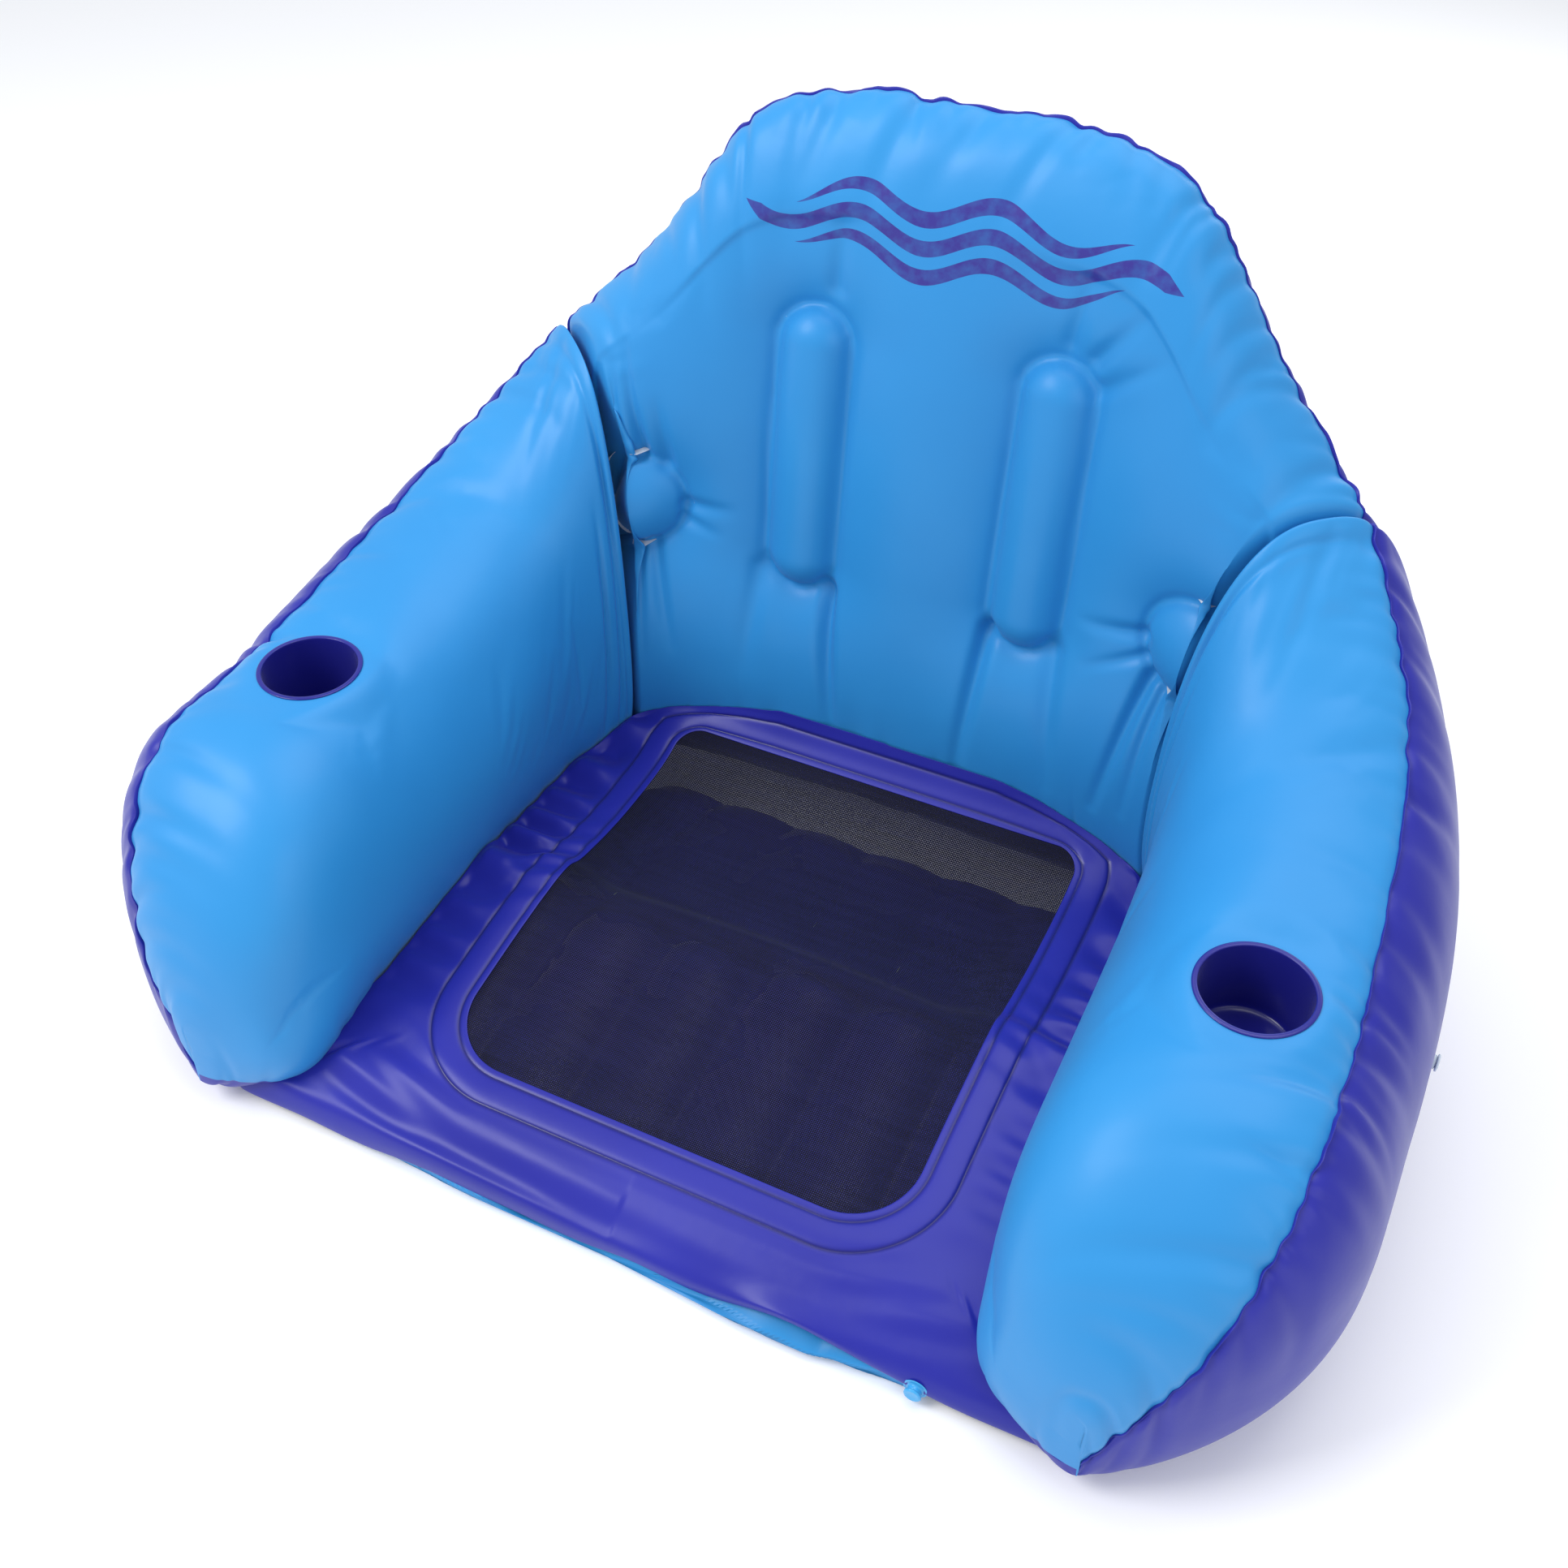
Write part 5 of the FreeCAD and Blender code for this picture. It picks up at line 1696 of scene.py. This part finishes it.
@dataclass
class InnerFilms:
    """The clear films inside the chambers: bulkheads, ties and ribs."""

    film: float = 0.0009

    def bulkhead(self, side: str, mirror: float, material: bpy.types.Material) -> None:
        """Build the film that parts an arm from the backrest."""
        cut = corner_cut().row()
        outline = section(cut, np.linspace(0.0, 2.0 * math.pi, 121)[:-1], 0.0300)
        outline[:, 0] *= mirror
        shape = bmesh.new()
        bmesh.ops.create_circle(shape, cap_ends=True, segments=120, radius=1.0)
        shape.verts.ensure_lookup_table()
        for vert, spot in zip(shape.verts, outline):
            vert.co = spot
        bmesh.ops.solidify(shape, geom=shape.faces[:], thickness=self.film * 0.5)
        bmesh.ops.recalc_face_normals(shape, faces=shape.faces)
        piece = finish_mesh(shape, side + "_bulkhead_film", smooth=False)
        dress(piece, material, Body.CHAIR, "clear_inner_film", side + "_bulkhead")

    def tie(self, name: str, node: str, outline: np.ndarray, tree: BVHTree,
            material: bpy.types.Material) -> None:
        """Build a tie from the front film's weld to the rear film.

        Args:
            name: the piece's name.
            node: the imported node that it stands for.
            outline: closed outline as seen from the front, as (x, z) pairs.
            tree: the blown-up backrest.
            material: its material.
        """
        rows = []
        for x, z in outline:
            front = tree.ray_cast(Vector((x, TIP + 0.30, z)), Vector((0.0, 1.0, 0.0)))[0]
            rear = tree.ray_cast(Vector((x, TIP + 1.20, z)), Vector((0.0, -1.0, 0.0)))[0]
            rows.append([(x, front.y + 0.0008 + (rear.y - front.y - 0.0016) * share, z)
                         for share in (0.0, 0.33, 0.67, 1.0)])
        points = np.array(rows + rows[:1])
        shape = warped_grid(points)
        bmesh.ops.remove_doubles(shape, verts=shape.verts, dist=1e-7)
        bmesh.ops.recalc_face_normals(shape, faces=shape.faces)
        piece = finish_mesh(shape, name)
        solid = piece.modifiers.new("film", "SOLIDIFY")
        solid.thickness = self.film * 0.6
        dress(piece, material, Body.CHAIR, "clear_inner_film", node)

    def build(self, shell: bpy.types.Object, back: Backrest) -> None:
        """Build and dress every inner film.

        Args:
            shell: the blown-up backrest.
            back: its sizes.
        """
        clear = INNER_FILM.material()
        tree = BVHTree.FromObject(shell, bpy.context.evaluated_depsgraph_get())
        for side, mirror in (("right", 1.0), ("left", -1.0)):
            self.bulkhead(side, mirror, clear)
            radius = back.tie_radius
            upper = [(math.cos(turn) * radius, back.tie_high + math.sin(turn) * radius)
                     for turn in np.linspace(0.0, math.pi, 25)]
            lower = [(math.cos(turn) * radius, back.tie_low + math.sin(turn) * radius)
                     for turn in np.linspace(math.pi, 2.0 * math.pi, 25)]
            outline = np.array(upper + lower) + (mirror * back.tie_x, 0.0)
            self.tie(side + "_long_tie_band", side + "_long_tie", outline, tree, clear)
            ring = [(math.cos(turn) * back.round_radius, math.sin(turn) * back.round_radius)
                    for turn in np.linspace(0.0, 2.0 * math.pi, 49)[:-1]]
            outline = np.array(ring) + (mirror * back.round_x, back.round_z)
            self.tie(side + "_round_tie_band", side + "_round_tie", outline, tree, clear)
        for index in range(1, 6):
            dress_node("cushion_rib_%d" % index, clear)


# ---------------------------------------------------------------- assemblies


@dataclass
class AirBody:
    """The two arms and the backrest."""

    quality: float = 1.0

    def build(self) -> None:
        """Build and dress the six films and three rim fins."""
        light = LIGHT_FILM.material()
        printed = PRINTED_FILM.material()
        dark = DARK_FILM.material()
        arms = (Arm("right_arm", 11, 150, 108, 90, side=1.0, valve="right_arm_valve_body"),
                Arm("left_arm", 47, 150, 108, 90, side=-1.0, valve="left_arm_valve_body"))
        for arm in arms:
            made = arm.shell()
            inner = arm.split(made, Panel.LIGHT, arm.name + "_inner_film")
            outer = arm.split(made, Panel.DARK, arm.name + "_outer_film")
            fin = arm.rim_fin(made, arm.name + "_rim_fin")
            bpy.data.objects.remove(made)
            dress(inner, light, Body.CHAIR, "light_blue_film", arm.name + "_inner_panel")
            dress(outer, dark, Body.CHAIR, "dark_blue_film", arm.name + "_outer_panel")
            dress(fin, dark, Body.CHAIR, "dark_blue_film")
        back = Backrest("backrest", 83, 172, 138, 84, valve="back_valve_body")
        made = back.shell()
        InnerFilms().build(made, back)
        front = back.split(made, Panel.LIGHT, "backrest_front_film")
        rear = back.split(made, Panel.DARK, "backrest_rear_film")
        fin = back.rim_fin(made, "backrest_rim_fin")
        bpy.data.objects.remove(made)
        dress(front, printed, Body.CHAIR, "light_blue_film", "backrest_front_panel")
        dress(rear, dark, Body.CHAIR, "dark_blue_film", "backrest_rear_panel")
        dress(fin, dark, Body.CHAIR, "dark_blue_film")


@dataclass
class Studio:
    """Pale floor, soft lights and the camera."""

    azimuth: float = math.radians(26.40)
    elevation: float = math.radians(41.66)
    spot: tuple[float, float, float] = (0.4843, -0.626, 1.2372)
    lens: float = 39.13

    def build(self) -> None:
        """Make the floor, the lights and the camera."""
        shape = bmesh.new()
        bmesh.ops.create_grid(shape, x_segments=1, y_segments=1, size=6.0)
        floor = finish_mesh(shape, "floor")
        nodes = Nodes("pale_floor")
        shader = nodes.add("BsdfPrincipled", Roughness=0.8)
        shader.inputs["Base Color"].default_value = (0.94, 0.94, 0.95, 1.0)
        shader.inputs["Emission Color"].default_value = (1.0, 1.0, 1.0, 1.0)
        shader.inputs["Emission Strength"].default_value = 0.07
        floor.data.materials.append(nodes.surface(shader.outputs[0]))
        self.lamp("key", (-1.7, -1.5, 2.6), 1.5, 60.0)
        self.lamp("fill", (2.4, -1.6, 1.9), 1.8, 14.0)
        self.lamp("top", (0.2, 0.6, 3.0), 2.2, 34.0)
        self.lamp("back", (0.6, 2.6, 1.6), 1.6, 12.0)
        world = bpy.data.worlds.new("studio")
        world.use_nodes = True
        world.node_tree.nodes["Background"].inputs[0].default_value = (0.92, 0.95, 1.0, 1.0)
        world.node_tree.nodes["Background"].inputs[1].default_value = 0.70
        bpy.context.scene.world = world
        bpy.context.scene.view_settings.view_transform = "Standard"
        camera = bpy.data.objects.new("camera", bpy.data.cameras.new("camera"))
        bpy.context.scene.collection.objects.link(camera)
        camera.data.lens = self.lens
        camera.location = (self.spot[0], TIP + self.spot[1], self.spot[2])
        camera.rotation_euler = Euler((math.pi / 2.0 - self.elevation, 0.0, self.azimuth))
        camera.data.clip_start = 0.01
        bpy.context.scene.camera = camera

    def lamp(self, name: str, spot: Sequence[float], size: float, power: float) -> None:
        """Add a soft square lamp that faces the chair.

        Args:
            name: its name.
            spot: its place.
            size: its side.
            power: its power in watts.
        """
        data = bpy.data.lights.new(name, "AREA")
        data.size = size
        data.energy = power
        made = bpy.data.objects.new(name, data)
        made.location = spot
        made.rotation_euler = (Vector((0.0, 0.0, 0.3)) - Vector(spot)).to_track_quat("-Z", "Y").to_euler()
        bpy.context.scene.collection.objects.link(made)


def main() -> None:
    """Build the chair and the studio."""
    logging.basicConfig(level=logging.INFO, format="%(message)s")
    AirBody().build()
    NetSeat().build()
    Cushion("seat_cushion", 29, 96, 120, 60).build()
    holder = HOLDER_FILM.material()
    DrinkHolder(1.0).build("right_drink_cup", "right_drink_holder", holder)
    DrinkHolder(-1.0).build("left_drink_cup", "left_drink_holder", holder)
    clear = VALVE_FILM.material()
    blue = VALVE_BLUE.material()
    Valve("right_arm", Facing.RIGHT, 0.014, Body.RIGHT_ARM_PLUG).build(clear, clear)
    Valve("left_arm", Facing.LEFT, 0.014, Body.LEFT_ARM_PLUG).build(clear, clear)
    Valve("back", Facing.REAR, 0.014, Body.BACK_PLUG).build(clear, clear)
    Valve("seat", Facing.FRONT, 0.0105, Body.SEAT_PLUG, ("valve_light_blue",
                                                         "valve_light_blue")).build(blue, blue)
    Studio().build()


if __name__ == "__main__":
    main()
